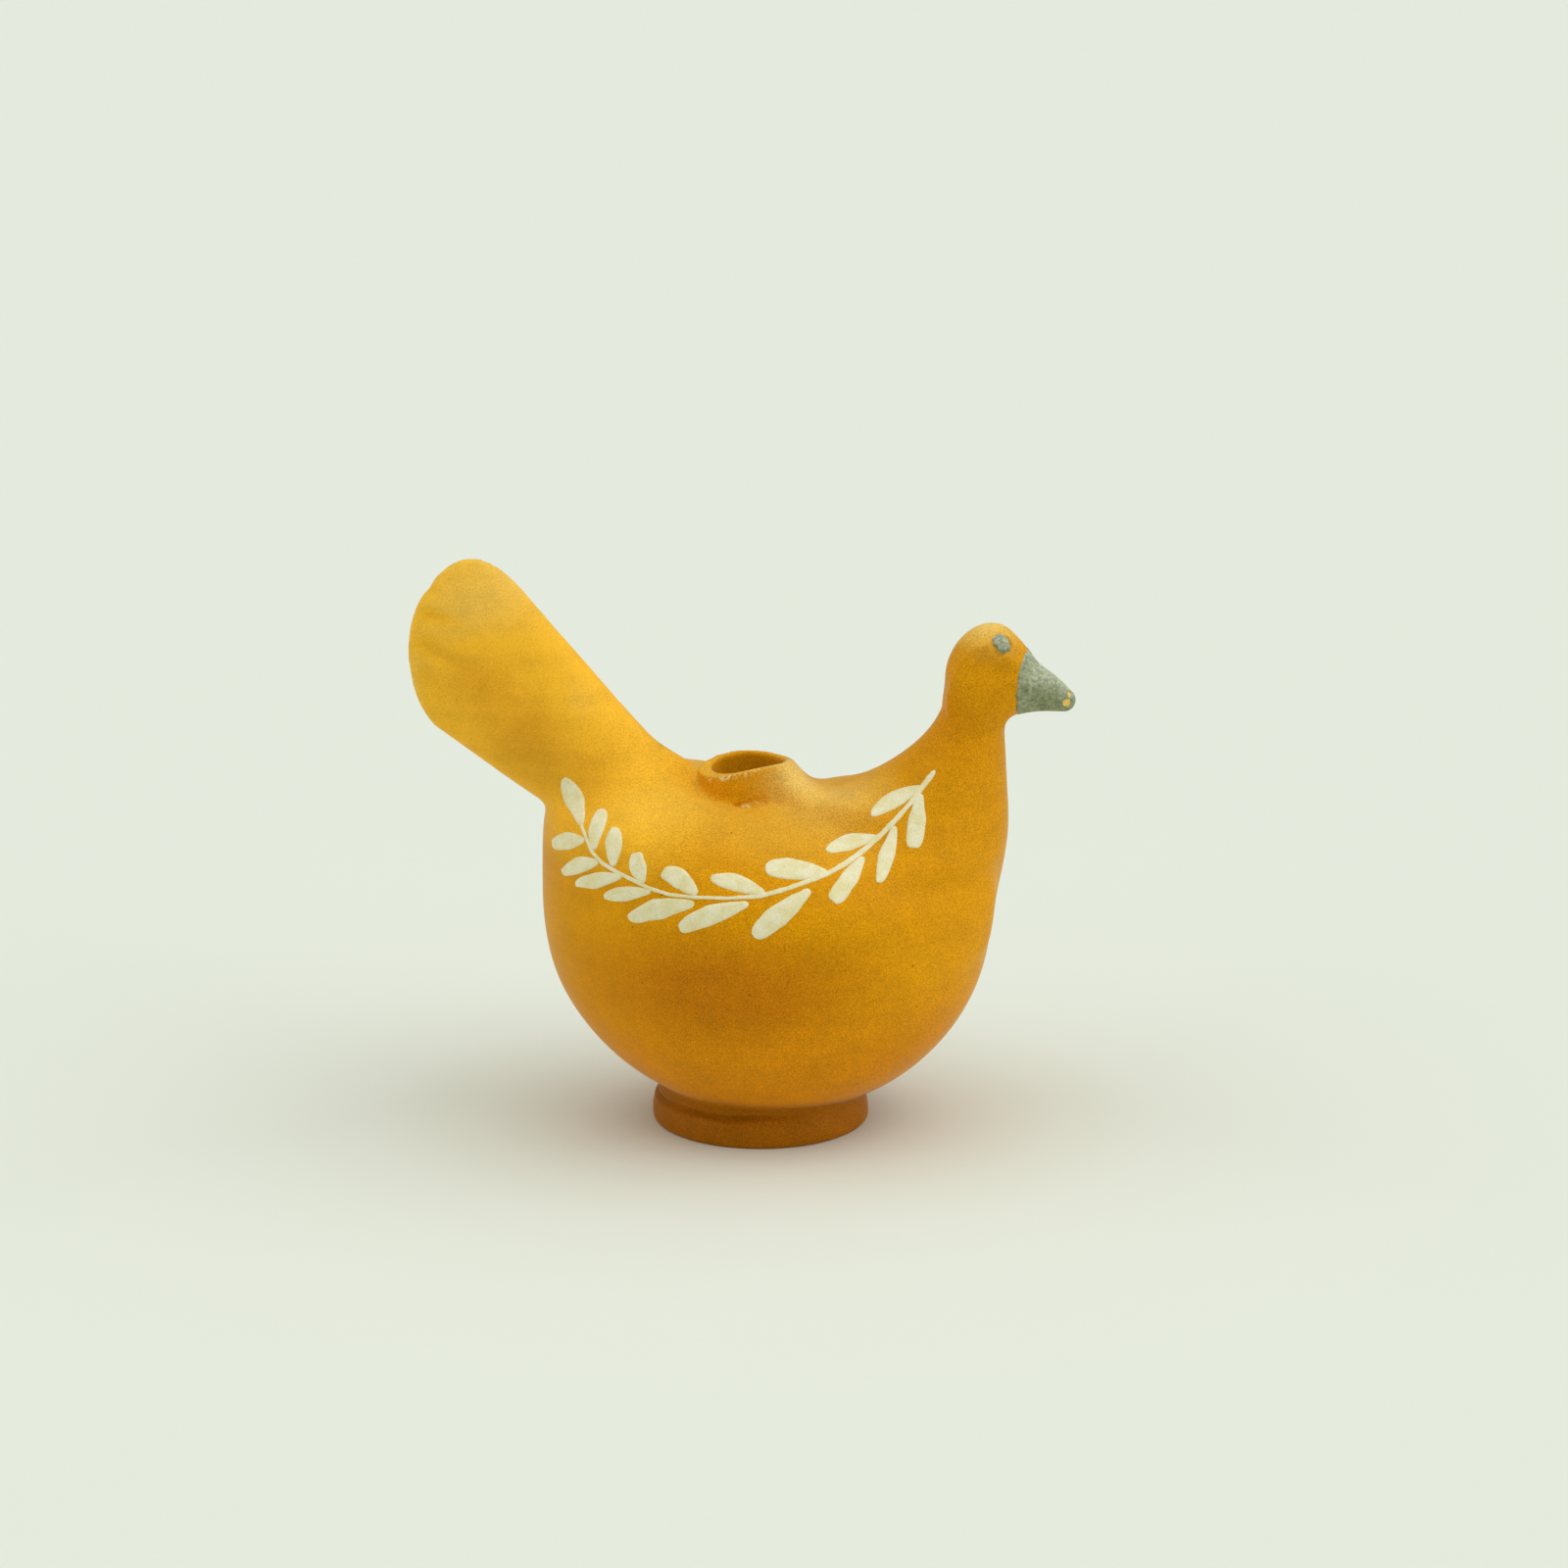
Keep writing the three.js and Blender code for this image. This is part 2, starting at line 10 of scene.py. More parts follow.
import bpy
import numpy as np
import openvdb
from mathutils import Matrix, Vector


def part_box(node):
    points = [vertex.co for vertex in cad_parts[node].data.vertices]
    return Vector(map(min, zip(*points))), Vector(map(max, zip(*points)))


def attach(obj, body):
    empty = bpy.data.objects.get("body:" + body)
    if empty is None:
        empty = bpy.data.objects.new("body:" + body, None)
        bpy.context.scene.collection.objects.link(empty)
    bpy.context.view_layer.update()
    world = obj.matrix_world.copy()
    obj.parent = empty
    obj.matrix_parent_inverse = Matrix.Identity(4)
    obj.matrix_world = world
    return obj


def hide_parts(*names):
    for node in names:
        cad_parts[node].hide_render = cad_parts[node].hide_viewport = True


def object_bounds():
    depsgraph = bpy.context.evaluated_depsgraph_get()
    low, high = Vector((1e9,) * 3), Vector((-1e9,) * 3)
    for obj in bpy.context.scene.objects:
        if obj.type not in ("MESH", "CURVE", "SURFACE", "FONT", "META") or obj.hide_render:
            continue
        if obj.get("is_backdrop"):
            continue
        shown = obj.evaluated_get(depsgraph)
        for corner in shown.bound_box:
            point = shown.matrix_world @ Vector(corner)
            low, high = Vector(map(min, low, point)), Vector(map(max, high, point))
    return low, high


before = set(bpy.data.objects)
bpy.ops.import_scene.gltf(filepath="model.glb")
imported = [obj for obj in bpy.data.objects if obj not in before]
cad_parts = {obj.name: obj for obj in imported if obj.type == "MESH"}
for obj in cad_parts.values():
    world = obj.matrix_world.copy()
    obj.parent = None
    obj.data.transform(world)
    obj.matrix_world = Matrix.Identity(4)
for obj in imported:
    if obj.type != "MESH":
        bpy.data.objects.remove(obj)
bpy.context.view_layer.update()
print("CAD nodes:", ", ".join(sorted(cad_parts)))


# %% [markdown]
# ## Where the camera stands
# The photograph looks at the bird's right side from a little above, through a long lens. The camera could
# be placed by eye, but plain numbers are better here, because the sprig is drawn on a card square to this
# view.

# %% Camera
MM = 0.001
AIM = np.array([8.65, 0, 73.2])
LOOK_DOWN = math.radians(16)
CAMERA_DISTANCE = 1200
CAMERA_LENS = 131.2
CLIP_START = 0.05
card_right = np.array([1.0, 0, 0])
card_up = np.array([0, math.sin(LOOK_DOWN), math.cos(LOOK_DOWN)])
camera_place = AIM + CAMERA_DISTANCE * np.array([0, -math.cos(LOOK_DOWN), math.sin(LOOK_DOWN)])


def add_to_scene(name, data):
    item = bpy.data.objects.new(name, data)
    bpy.context.scene.collection.objects.link(item)
    return item


camera = add_to_scene("camera", bpy.data.cameras.new("camera"))
camera.data.lens = CAMERA_LENS
camera.data.clip_start = CLIP_START
camera.location = Vector(camera_place * MM)
camera.rotation_euler = (math.pi / 2 - LOOK_DOWN, 0, 0)
bpy.context.scene.camera = camera
print("Camera at", np.round(camera_place), "mm")


# %% [markdown]
# ## Forms from rows of points
# A pinched body, a neck and a tail are soft tubes, so each is drawn as rows of ovals with a skin over
# them. Blender can loft curves for this, but plain arrays are shorter and can be measured on the way.
# Sizes are in millimetres from here on.

# %% Rows and skins
TURNS = 160
turn = np.linspace(0, 2 * np.pi, TURNS, endpoint=False)


def skin(rows, loop=False):
    """Points and triangles of a skin over rows of points; ends are closed by fans, or joined in a loop"""
    rows = np.asarray(rows, float)
    count, turns, _ = rows.shape
    points = [rows.reshape(-1, 3)]
    grid = np.arange(count * turns).reshape(count, turns)
    lower = grid if loop else grid[:-1]
    upper = np.roll(grid, -1, axis=0) if loop else grid[1:]
    lower_next, upper_next = np.roll(lower, -1, axis=1), np.roll(upper, -1, axis=1)
    triangles = [np.stack([lower, lower_next, upper_next], -1), np.stack([lower, upper_next, upper], -1)]
    if not loop:
        points += [rows[0].mean(axis=0)[None], rows[-1].mean(axis=0)[None]]
        start, end = np.full(turns, count * turns), np.full(turns, count * turns + 1)
        triangles.append(np.stack([np.roll(grid[0], -1), grid[0], start], -1))
        triangles.append(np.stack([grid[-1], np.roll(grid[-1], -1), end], -1))
    triangles = [t.reshape(-1, 3) for t in triangles]
    return np.vstack(points).astype(np.float32), np.vstack(triangles).astype(np.uint32)


def oval(centre, first_way, first_half, second_way, second_half):
    first = np.outer(np.cos(turn) * first_half, first_way)
    return np.asarray(centre) + first + np.outer(np.sin(turn) * second_half, second_way)


def profile(reach, squareness):
    """Height of a rounded profile, 1 at reach 0 and 0 at reach 1"""
    return np.maximum(0, 1 - reach**squareness) ** (1 / squareness)


def between(low, high, share):
    return low + (high - low) * share


def ease(low, high, value):
    """Soft step from 0 at low to 1 at high; low may be the larger"""
    share = np.clip((value - low) / (high - low), 0, 1)
    return share * share * (3 - 2 * share)


print("Each row has", TURNS, "points")


# %% [markdown]
# ## The body
# The potter joins two pinched bowls, mouth to mouth: a deep round one below and a shallow one on top,
# squarer at the tail end. A sphere could be stretched for this, but it can't be round below and square
# behind. So each row follows a profile, and the same rows, smaller by the wall, give the hollow inside.

# %% Body and hollow
def box_mm(node):
    low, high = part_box(node)
    return np.array(low) / MM, np.array(high) / MM


bowl_low, bowl_high = box_mm("lower_bowl")
WALL = 4
JOINT = 0.3
BACK_RISE = 23
BACK_SLOPE = 0.07
BOWL_SHIFT = 3
MOUTH_SHIFT = -4.1
BOWL_SQUARENESS = 2.13
BACK_SQUARENESS, TAIL_END_SQUARENESS = 2, 6
BODY_ROWS = 40
LAST_ROW = 0.99
body_x = (bowl_low[0] + bowl_high[0]) / 2
half_length = (bowl_high[0] - bowl_low[0]) / 2
half_width = (bowl_high[1] - bowl_low[1]) / 2
widest_z = box_mm("upper_back")[0][2] - JOINT
under_z = bowl_low[2]
back_z = widest_z + BACK_RISE
mouth_x = body_x + MOUTH_SHIFT


def body_ring(is_back, reach, grow):
    cosine, sine = np.cos(turn), np.sin(turn)
    long, wide = half_length + grow, half_width + grow
    axis_x = MOUTH_SHIFT if is_back else BOWL_SHIFT
    x = axis_x * (1 - reach) + long * reach * cosine
    y = between(long, wide, reach) * reach * sine
    tailward = np.maximum(0, -cosine) ** 2
    squareness = np.full(TURNS, BOWL_SQUARENESS)
    end = under_z - grow
    if is_back:
        squareness = between(BACK_SQUARENESS, TAIL_END_SQUARENESS, tailward)
        end = back_z + grow - BACK_SLOPE * (x - MOUTH_SHIFT)
    z = between(widest_z, end, profile(reach, squareness))
    return np.stack([x + body_x, y, z], -1)


def body_form(grow):
    reaches = 1 - np.linspace(0, LAST_ROW, BODY_ROWS) ** 2
    under = [body_ring(False, reach, grow) for reach in reaches[::-1]]
    over = [body_ring(True, reach, grow) for reach in reaches[1:]]
    return skin(under + over)


body = body_form(0)
hollow = body_form(-WALL)
print(f"Body {2 * half_length:.0f} x {2 * half_width:.0f} mm, widest at {widest_z:.1f} mm")


# %% [markdown]
# ## The neck
# On the real bird a lump of clay is pulled up into a full breast in front and a long slope down to the
# back. It could be sculpted, but a stack of level ovals keeps both outlines exact.

# %% Neck form
neck_top = box_mm("neck")[1][2]
breast_x = half_length + 2.6
breast_z = widest_z + 18
NECK_LENGTH, NECK_WIDTH = 13.2, 15
NECK_SLOPE, SLOPE_CURVE = 29, 1.65
NECK_FLARE, FLARE_DROP, LOW_FLARE = 40, 32, 0.6
BREAST_FALL_ABOVE, BREAST_FALL_BELOW = 26, 13
BREAST_SWELL = 0.5
NECK_ROWS = 56
NECK_BURIED, NECK_CAP, CAP_RISE = 6, 3, 7
neck_rows = []
for z in np.linspace(widest_z - NECK_BURIED, neck_top - NECK_CAP, NECK_ROWS):
    drop = neck_top - z
    slope = 1 - profile(min(1, drop / (neck_top - back_z + 2)), SLOPE_CURVE)
    spread = min(1, drop / FLARE_DROP) ** 2 * between(1, LOW_FLARE, ease(72, 52, z))
    back = breast_x - NECK_LENGTH - NECK_SLOPE * slope
    fall = BREAST_FALL_ABOVE if z > breast_z else BREAST_FALL_BELOW
    front = breast_x - ((z - breast_z) / fall) ** 2 + BREAST_SWELL * math.exp(-(((z - 66) / 8) ** 2))
    centre = (body_x + (back + front) / 2, 0, z)
    neck_half_width = (NECK_WIDTH + NECK_FLARE * spread) / 2
    neck_rows.append(oval(centre, (1, 0, 0), (front - back) / 2, (0, 1, 0), neck_half_width))
last_row = neck_rows[-1]
for share in np.linspace(0.1, 0.98, 10):
    cap_row = last_row * [1, 1, 0] + [0, 0, neck_top - NECK_CAP + CAP_RISE * share]
    middle = cap_row.mean(axis=0)
    neck_rows.append(middle + (cap_row - middle) * profile(share, 2))
neck = skin(neck_rows)
print("Neck skin:", len(neck[1]), "triangles")


# %% [markdown]
# ## The tail
# The tail is a paddle, thick at the root and flat at its rounded end, that leans a little. A flattened
# cube with a bevel would look cut out, so it is a stack of ovals square to its own line that get thinner
# towards the end.

# %% Tail form
TAIL_ANGLE = math.radians(43.3)
TAIL_LENGTH, TAIL_SHOULDER, TAIL_BURIED = 49.3, 28, 24
TAIL_HEIGHTS = (26.2, 32.9)
TAIL_THICKNESSES = (22, 7)
TAIL_END_SQUARE, TAIL_CURL = 2.3, 7
TAIL_RIDGE = 0.05
TAIL_LEAN = 0.05
tail_along = np.array([-math.cos(TAIL_ANGLE), 0, math.sin(TAIL_ANGLE)])
tail_across = np.array([math.sin(TAIL_ANGLE), 0, math.cos(TAIL_ANGLE)])
tail_root = np.array([body_x + 9.6 - half_length, 0, back_z + 6])
rounded_end = between(TAIL_SHOULDER, TAIL_LENGTH, np.sin(np.linspace(0, 1.55, 28)))
tail_rows = []
for distance in [*np.linspace(-TAIL_BURIED, TAIL_SHOULDER, 40, endpoint=False), *rounded_end]:
    end = max(0, distance - TAIL_SHOULDER) / (TAIL_LENGTH - TAIL_SHOULDER)
    fullness = profile(end, TAIL_END_SQUARE)
    tall = between(*TAIL_HEIGHTS, min(1, distance / TAIL_SHOULDER)) * fullness
    thick = between(*TAIL_THICKNESSES, np.clip(distance / TAIL_LENGTH, 0, 1)) * math.sqrt(fullness)
    centre = tail_root + tail_along * distance + tail_across * TAIL_CURL * end**1.5
    tail_row = oval(centre, tail_across, tall / 2, (0, 1, 0), thick / 2)
    tail_row[:, 1] *= 1 + TAIL_RIDGE * np.cos(turn)
    tail_row[:, 1] += TAIL_LEAN * np.cos(turn) * tall / 2 * np.clip(distance / TAIL_SHOULDER, 0, 1)
    tail_rows.append(tail_row)
tail = skin(tail_rows)
print("Tail skin:", len(tail[1]), "triangles")


# %% [markdown]
# ## Head and bill
# The head is a drop of clay: an oval with the bill drawn out of its front. Two spheres and a cone would
# need joints that aren't there. Here a taut skin runs over an oval head and a small round bill tip.

# %% Head form
HEAD_FORWARD, HEAD_RISE = 8.3, 4.9
BILL_REACH = np.array([16.6, 0, -6.4])
HEAD_LONG, HEAD_TALL, HEAD_WIDE, BILL_TIP_RADIUS = 7.9, 10.4, 8.6, 2.5
head_middle = np.array([body_x + breast_x - NECK_LENGTH + HEAD_FORWARD, 0, neck_top + HEAD_RISE])
bill_tip = head_middle + BILL_REACH
head_reach = np.linalg.norm(bill_tip - head_middle)
head_axis = (bill_tip - head_middle) / head_reach
head_up = np.array([-head_axis[2], 0, head_axis[0]])


def head_row(along, radius):
    return oval(head_middle + head_axis * along, head_up, radius, (0, 1, 0), radius * HEAD_WIDE / HEAD_TALL)


def oval_reach(angle):
    """How far the head's oval reaches in the direction that a straight side faces"""
    return math.hypot(HEAD_LONG * math.cos(angle), HEAD_TALL * math.sin(angle))


side_angles = np.linspace(0.2, 1.57, 400)
side_miss = [oval_reach(a) - BILL_TIP_RADIUS - head_reach * math.cos(a) for a in side_angles]
side_angle = side_angles[np.argmin(np.abs(side_miss))]
head_rows = []
for angle in np.linspace(np.pi - 0.02, side_angle, 40):
    along = HEAD_LONG**2 * math.cos(angle) / oval_reach(angle)
    head_rows.append(head_row(along, HEAD_TALL**2 * math.sin(angle) / oval_reach(angle)))
for angle in np.linspace(side_angle, 0.02, 16):
    along = head_reach + BILL_TIP_RADIUS * math.cos(angle)
    head_rows.append(head_row(along, BILL_TIP_RADIUS * math.sin(angle)))
head = skin(head_rows)
print("Bill tip at", np.round(bill_tip, 1))


# %% [markdown]
# ## The mouth collar
# The mouth is a short ring of clay set on the back, with a buttress of smeared clay towards the head. Its
# lip was pinched unevenly. A torus would be too true, so the lip's height and reach are given at eight
# places round the ring, from the side that faces the head and on round the far side, and a smooth curve
# joins them.

# %% Collar form
BORE = 7.6
BORE_BELOW, BORE_ABOVE = 14, 20
LIP_HEIGHTS = [5.6, 5.0, 5.3, 4.8, 4.0, 3.9, 5.7, 6.4]
LIP_REACHES = [9.3, 9.1, 9.0, 9.5, 10.3, 11.0, 9.8, 9.8]
COLLAR_DROPS = (11, 5.5, 0)
COLLAR_LEAN = 0.12
BUTTRESS = 0.7


def round_the_lip(values):
    """Values at eight places, joined by a smooth curve round the ring"""
    ripples = np.fft.rfft(values) / 8
    total = ripples[0].real + ripples[4].real * np.cos(4 * turn)
    for count in (1, 2, 3):
        total = total + 2 * (ripples[count] * np.exp(1j * count * turn)).real
    return total


def collar_row(drop):
    lean = COLLAR_LEAN + BUTTRESS * ease(0.5, 0.75, np.cos(turn))
    reach = round_the_lip(LIP_REACHES) + lean * drop
    lip_z = back_z + round_the_lip(LIP_HEIGHTS)
    return np.stack([mouth_x + reach * np.cos(turn), reach * np.sin(turn), lip_z - drop], -1)


collar = skin([collar_row(drop) for drop in COLLAR_DROPS])
bore_ends = (back_z - BORE_BELOW, back_z + BORE_ABOVE)
bore = skin([oval((mouth_x, 0, z), (1, 0, 0), BORE, (0, 1, 0), BORE) for z in bore_ends])
print("Collar reaches", max(LIP_REACHES), "mm from the mouth's middle")


# %% [markdown]
# ## From forms to fired clay
# The potter joins the pieces with slip and smooths each joint with a wet finger, so the bird has soft
# fillets and no seams. Booleans with bevels would leave hard creases. In distance fields each form
# becomes a grid of distances to its surface, and two grids melt together over a chosen width.

# %% Distance fields
REACH = 10.0


class Grid:
    """A block of evenly spaced points"""

    def __init__(self, low, high, step):
        self.low, self.high, self.step = np.asarray(low, float), np.asarray(high, float), step
        self.shape = tuple(np.ceil((self.high - self.low) / step).astype(int) + 1)
        self.transform = openvdb.createLinearTransform(voxelSize=step)

    def axes(self):
        spans = [self.low[i] + self.step * np.arange(self.shape[i]) for i in range(3)]
        return np.meshgrid(*[s.astype(np.float32) for s in spans], indexing="ij", sparse=True)

    def field(self, form):
        """Distances to a form's surface, below zero inside it"""
        points, triangles = form
        values = np.full(self.shape, REACH, np.float32)
        if np.all(points.max(0) > self.low - REACH) and np.all(points.min(0) < self.high + REACH):
            local = (points - self.low).astype(np.float32)
            level = openvdb.FloatGrid.createLevelSetFromPolygons(
                local, triangles=triangles, transform=self.transform, halfWidth=REACH / self.step
            )
            level.copyToArray(values)
        return values

    def sample(self, values, points):
        """Field values at any points, mixed from the eight grid points round each"""
        place = (points - self.low) / self.step
        corner = np.clip(np.floor(place).astype(int), 0, np.array(self.shape) - 2)
        share = place - corner
        total = 0
        for offset in np.ndindex(2, 2, 2):
            weight = np.prod(np.where(offset, share, 1 - share), axis=-1)
            total = total + weight * values[tuple(np.moveaxis(corner + offset, -1, 0))]
        return total

    def normals(self, values, points):
        """Directions in which the field grows fastest"""
        steps = np.eye(3) * self.step
        ways = [self.sample(values, points + s) - self.sample(values, points - s) for s in steps]
        ways = np.stack(ways, -1)
        return ways / np.maximum(np.linalg.norm(ways, axis=-1, keepdims=True), 1e-9)

    def surface(self, values):
        level = openvdb.FloatGrid(REACH)
        level.copyFromArray(np.ascontiguousarray(values, np.float32))
        level.transform = self.transform
        points, quads = level.convertToQuads(0)
        return points + self.low, quads


def melt(a, b, width):
    """Both forms, with a fillet of about this width where they meet"""
    mix = np.maximum(width - np.abs(a - b), 0) / width
    return np.minimum(a, b) - mix * mix * width / 4


def carve(a, b, width):
    """The first form without the second, its new edge rounded over about this width"""
    return -melt(-a, b, width)


print("Distances are known up to", REACH, "mm from a surface")


# %% [markdown]
# ## Hand marks
# Pressed clay is never true: long gentle waves run over it, and fingers left grooves in the end of the
# tail. Both could be sculpted later. They are small, so they are added to the distances before a surface
# is drawn.

# %% Waves and finger marks
def waves(x, y, z, lengths, height, seed):
    random = np.random.default_rng(seed)
    total = 0
    for length in lengths:
        way = random.normal(size=3)
        way *= 2 * np.pi / length / np.linalg.norm(way)
        total = total + np.sin(way[0] * x + way[1] * y + way[2] * z + random.uniform(0, 6.3))
    return total * height / math.sqrt(len(lengths))


def finger_mark(x, y, z, start, end, width):
    """1 along a line on the card, on the side that the camera sees, fading to its end, and 0 away from it"""
    start, way = np.array(start), np.array(end) - np.array(start)
    across = x - AIM[0] - start[0] + 0 * y + 0 * z
    up = (y * card_up[1] + (z - AIM[2]) * card_up[2] - start[1]) + 0 * x
    share = np.clip((across * way[0] + up * way[1]) / (way @ way), 0, 1)
    apart = (across - share * way[0]) ** 2 + (up - share * way[1]) ** 2
    return np.exp(-apart / width**2) * between(1, 0.2, share) * ease(3, -1, y)


# Each mark: where it starts and ends on the card, its width and its depth
TAIL_MARKS = [
    ((-73.8, 35.0), (-67, 33.4), 1.3, 1.0),
    ((-74.4, 28.6), (-67, 24.8), 1.5, 1.0),
    ((-74.4, 41.6), (-72.0, 39), 1.2, 0.8),
    ((-74.8, 22.5), (-69, 18.5), 1.6, 0.7),
]
print("Finger marks on the tail:", len(TAIL_MARKS))


# %% [markdown]
# ## The pinched head
# Finger and thumb pressed the cheeks flat below the brow, ran along the top of the bill and poked a
# dimple for each eye. Cutting the drop with a box would give flat cheeks too, but with hard edges.
# Pressing the distances keeps them soft.

# %% Pinched head
DIMPLE = (53.8, 4.95, 104.5)
DIMPLE_DEPTH = 0.75
CHEEK_HALF_WIDTH, CHEEK_PRESS = 6.7, 0.8
BROW_X, BROW_Z, BROW_SLOPE = 52, 103.9, 0.28
BILL_DIP = 0.8


def pinched_head(grid):
    """Head and bill, with cheeks pressed in below the brow and a dip along the top of the bill"""
    x, y, z = grid.axes()
    brow_z = BROW_Z - BROW_SLOPE * (x - BROW_X)
    cheek = CHEEK_HALF_WIDTH - CHEEK_PRESS * np.exp(-(((z - brow_z + 3.4) / 2.7) ** 2))
    form = carve(grid.field(head), cheek - np.abs(y), 0.5)
    above_bill = (x - head_middle[0]) * head_up[0] + (z - head_middle[2]) * head_up[2]
    dip = np.exp(-(((x - 61.4) ** 2 + (z - 99.2) ** 2) / 3.6**2)) * ease(0, 4, above_bill)
    dip = dip + 0.5 * np.exp(-(((x - 62) ** 2 + (z - 89) ** 2) / 4**2)) * ease(0, -3, above_bill)
    from_eye = np.sqrt((x - DIMPLE[0]) ** 2 + (np.abs(y) - DIMPLE[1]) ** 2 + (z - DIMPLE[2]) ** 2)
    return form + BILL_DIP * dip + DIMPLE_DEPTH * ease(2.9, 1.8, from_eye)


print("Eye dimples", DIMPLE_DEPTH, "mm deep")


# %% [markdown]
# ## The whole bird
# Each joint was smoothed as far as a finger could reach: tight under the tail and round the mouth, wide
# at the breast and on the back. One width for all joints would be simpler and look cast, so each width
# changes from place to place.

# %% Join the forms
# Widths over which each joint was smoothed, from its tight place to its wide place
TAIL_JOINT = (1.4, 10)
NECK_JOINT = (1.5, 6)
FLANK_JOINT = (0.8, 3.5)
ARMPIT_JOINT = 6.5
HEAD_JOINT = (2, 4.2)
JAW_JOINT = 4
COLLAR_JOINT = (1.4, 4.5)
SHOULDER_PAD, RIDGE_PAD = 1.1, 0.9
TROUGH_DEPTHS = (0.8, 1.3)
HAND_WAVES, HAND_WAVE_HEIGHT = (46, 38, 33, 29, 24, 21, 18), 0.14


def body_with_neck(grid):
    x, y, z = grid.axes()
    clay = melt(grid.field(body), grid.field(tail), between(*TAIL_JOINT, ease(-45, -26, x)))
    flank = between(*FLANK_JOINT, ease(3, -3, y)) * ease(0, 10, np.abs(y))
    flank = flank * ease(54, 42, x) * ease(56, 64, z)
    armpit = ARMPIT_JOINT * ease(4, 14, np.abs(y)) * ease(70, 58, z)
    slope = between(*NECK_JOINT, ease(62, 78, z) * ease(12, 24, x))
    clay = melt(clay, grid.field(neck), slope + flank + armpit)
    pad = ((x - 20) / 9) ** 2 + ((y + 12.5) / 5) ** 2 + ((z - 70) / 5) ** 2
    return clay - SHOULDER_PAD * np.exp(-pad)


def clay_field(grid):
    """The whole outside of the bird, without foot and hollow"""
    x, y, z = grid.axes()
    jaw = JAW_JOINT * ease(2, 6, np.abs(y))
    clay = melt(body_with_neck(grid), pinched_head(grid), between(*HEAD_JOINT, ease(46, 56, x)) + jaw)
    from_mouth = np.hypot(x - mouth_x, y)
    facing_head = (x - mouth_x) / np.maximum(from_mouth, 1)
    trough = np.exp(-(((from_mouth - 12) / 5) ** 2)) * ease(0.5, -0.3, facing_head) * ease(2, -8, y)
    clay = clay + between(*TROUGH_DEPTHS, ease(-0.1, -0.8, facing_head)) * trough * ease(60, 66, z)
    clay = clay - RIDGE_PAD * np.exp(-((x + 13.5) ** 2 + y**2 + (z - 77) ** 2) / 5.5**2)
    clay = melt(clay, grid.field(collar), between(*COLLAR_JOINT, ease(0.45, 0.75, facing_head)))
    for start, end, width, depth in TAIL_MARKS:
        clay = clay + depth * finger_mark(x, y, z, start, end, width)
    return clay + waves(x, y, z, HAND_WAVES, HAND_WAVE_HEIGHT, 5)


def opened(grid, clay):
    """The same with the hollow and the mouth taken out"""
    return carve(clay, np.minimum(grid.field(hollow), grid.field(bore)), 0.9)


whole = Grid((-73, -45, -1), (73, 45, 125), 0.85)
whole_clay = clay_field(whole)
print("Grid", whole.shape)


# %% [markdown]
# ## Three pieces of one skin
# On the real bird the clay is one skin. The head and the mouth have finer detail than the belly, so one
# fine grid for all would be slow. They are drawn on finer grids of their own instead. The pieces overlap
# by a little and take their normals from the same field, so no seam shows.

# %% Cut the clay
OVERLAP = 1.2
HEAD_FROM_X, HEAD_FROM_Z = 25, 86
MOUTH_PIECE_REACH, MOUTH_FROM_Z = 20, 65


def piece_from(name, points, faces, normals=None):
    faces = np.asarray(faces)
    a, b, c = (points[faces[:, i]] for i in range(3))
    if np.einsum("ij,ij->i", a, np.cross(b, c)).sum() < 0:
        faces = faces[:, ::-1]
    mesh = bpy.data.meshes.new(name)
    mesh.from_pydata((points * MM).tolist(), [], faces.tolist())
    mesh.shade_smooth()
    if normals is not None:
        mesh.normals_split_custom_set_from_vertices(normals.tolist())
    piece = add_to_scene(name, mesh)
    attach(piece, "root")
    print(f"{name}: {len(mesh.polygons)} faces")
    return piece


def clay_piece(name, grid, clay, limit, *nodes):
    """The part of the clay where the limit is below zero"""
    points, quads = grid.surface(np.maximum(clay, limit))
    piece = piece_from(name, points, quads, grid.normals(clay, points))
    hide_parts(*nodes)
    return piece


def head_limit(grid):
    x, y, z = grid.axes()
    return np.maximum(HEAD_FROM_Z - z, HEAD_FROM_X - x) + 0 * y


def mouth_limit(grid):
    x, y, z = grid.axes()
    return np.maximum(np.hypot(x - mouth_x, y) - MOUTH_PIECE_REACH, MOUTH_FROM_Z - z)


body_limit = np.maximum(-head_limit(whole), -mouth_limit(whole)) - OVERLAP
clay_body = clay_piece(
    "clay_body", whole, opened(whole, whole_clay), body_limit, "lower_bowl", "upper_back", "neck", "tail"
)
head_grid = Grid((38, -11, 85.2), (72, 11, 110), 0.35)
head_clay = clay_field(head_grid)
head_piece = clay_piece("clay_head", head_grid, head_clay, head_limit(head_grid), "head")


# %% [markdown]
# ## The mouth and its crease
# The near foot of the collar wasn't smoothed, and a crease stayed in the joint. A dark line of paint
# would only look right from one side, so a narrow groove follows the collar's foot on this side.

# %% Cut the mouth
CREASE_DROP, CREASE_WIDTH, CREASE_DEPTH = 7.0, 0.7, 0.9
CREASE_TURNS = np.radians([200, 290])


def joint_crease(grid):
    """1 along the foot of the collar on the near side and 0 away from it"""
    x, y, z = grid.axes()
    apart = REACH**2
    for place in collar_row(CREASE_DROP)[(turn > CREASE_TURNS[0]) & (turn < CREASE_TURNS[1])]:
        apart = np.minimum(apart, (x - place[0]) ** 2 + (y - place[1]) ** 2 + (z - place[2]) ** 2)
    return np.exp(-apart / CREASE_WIDTH**2)


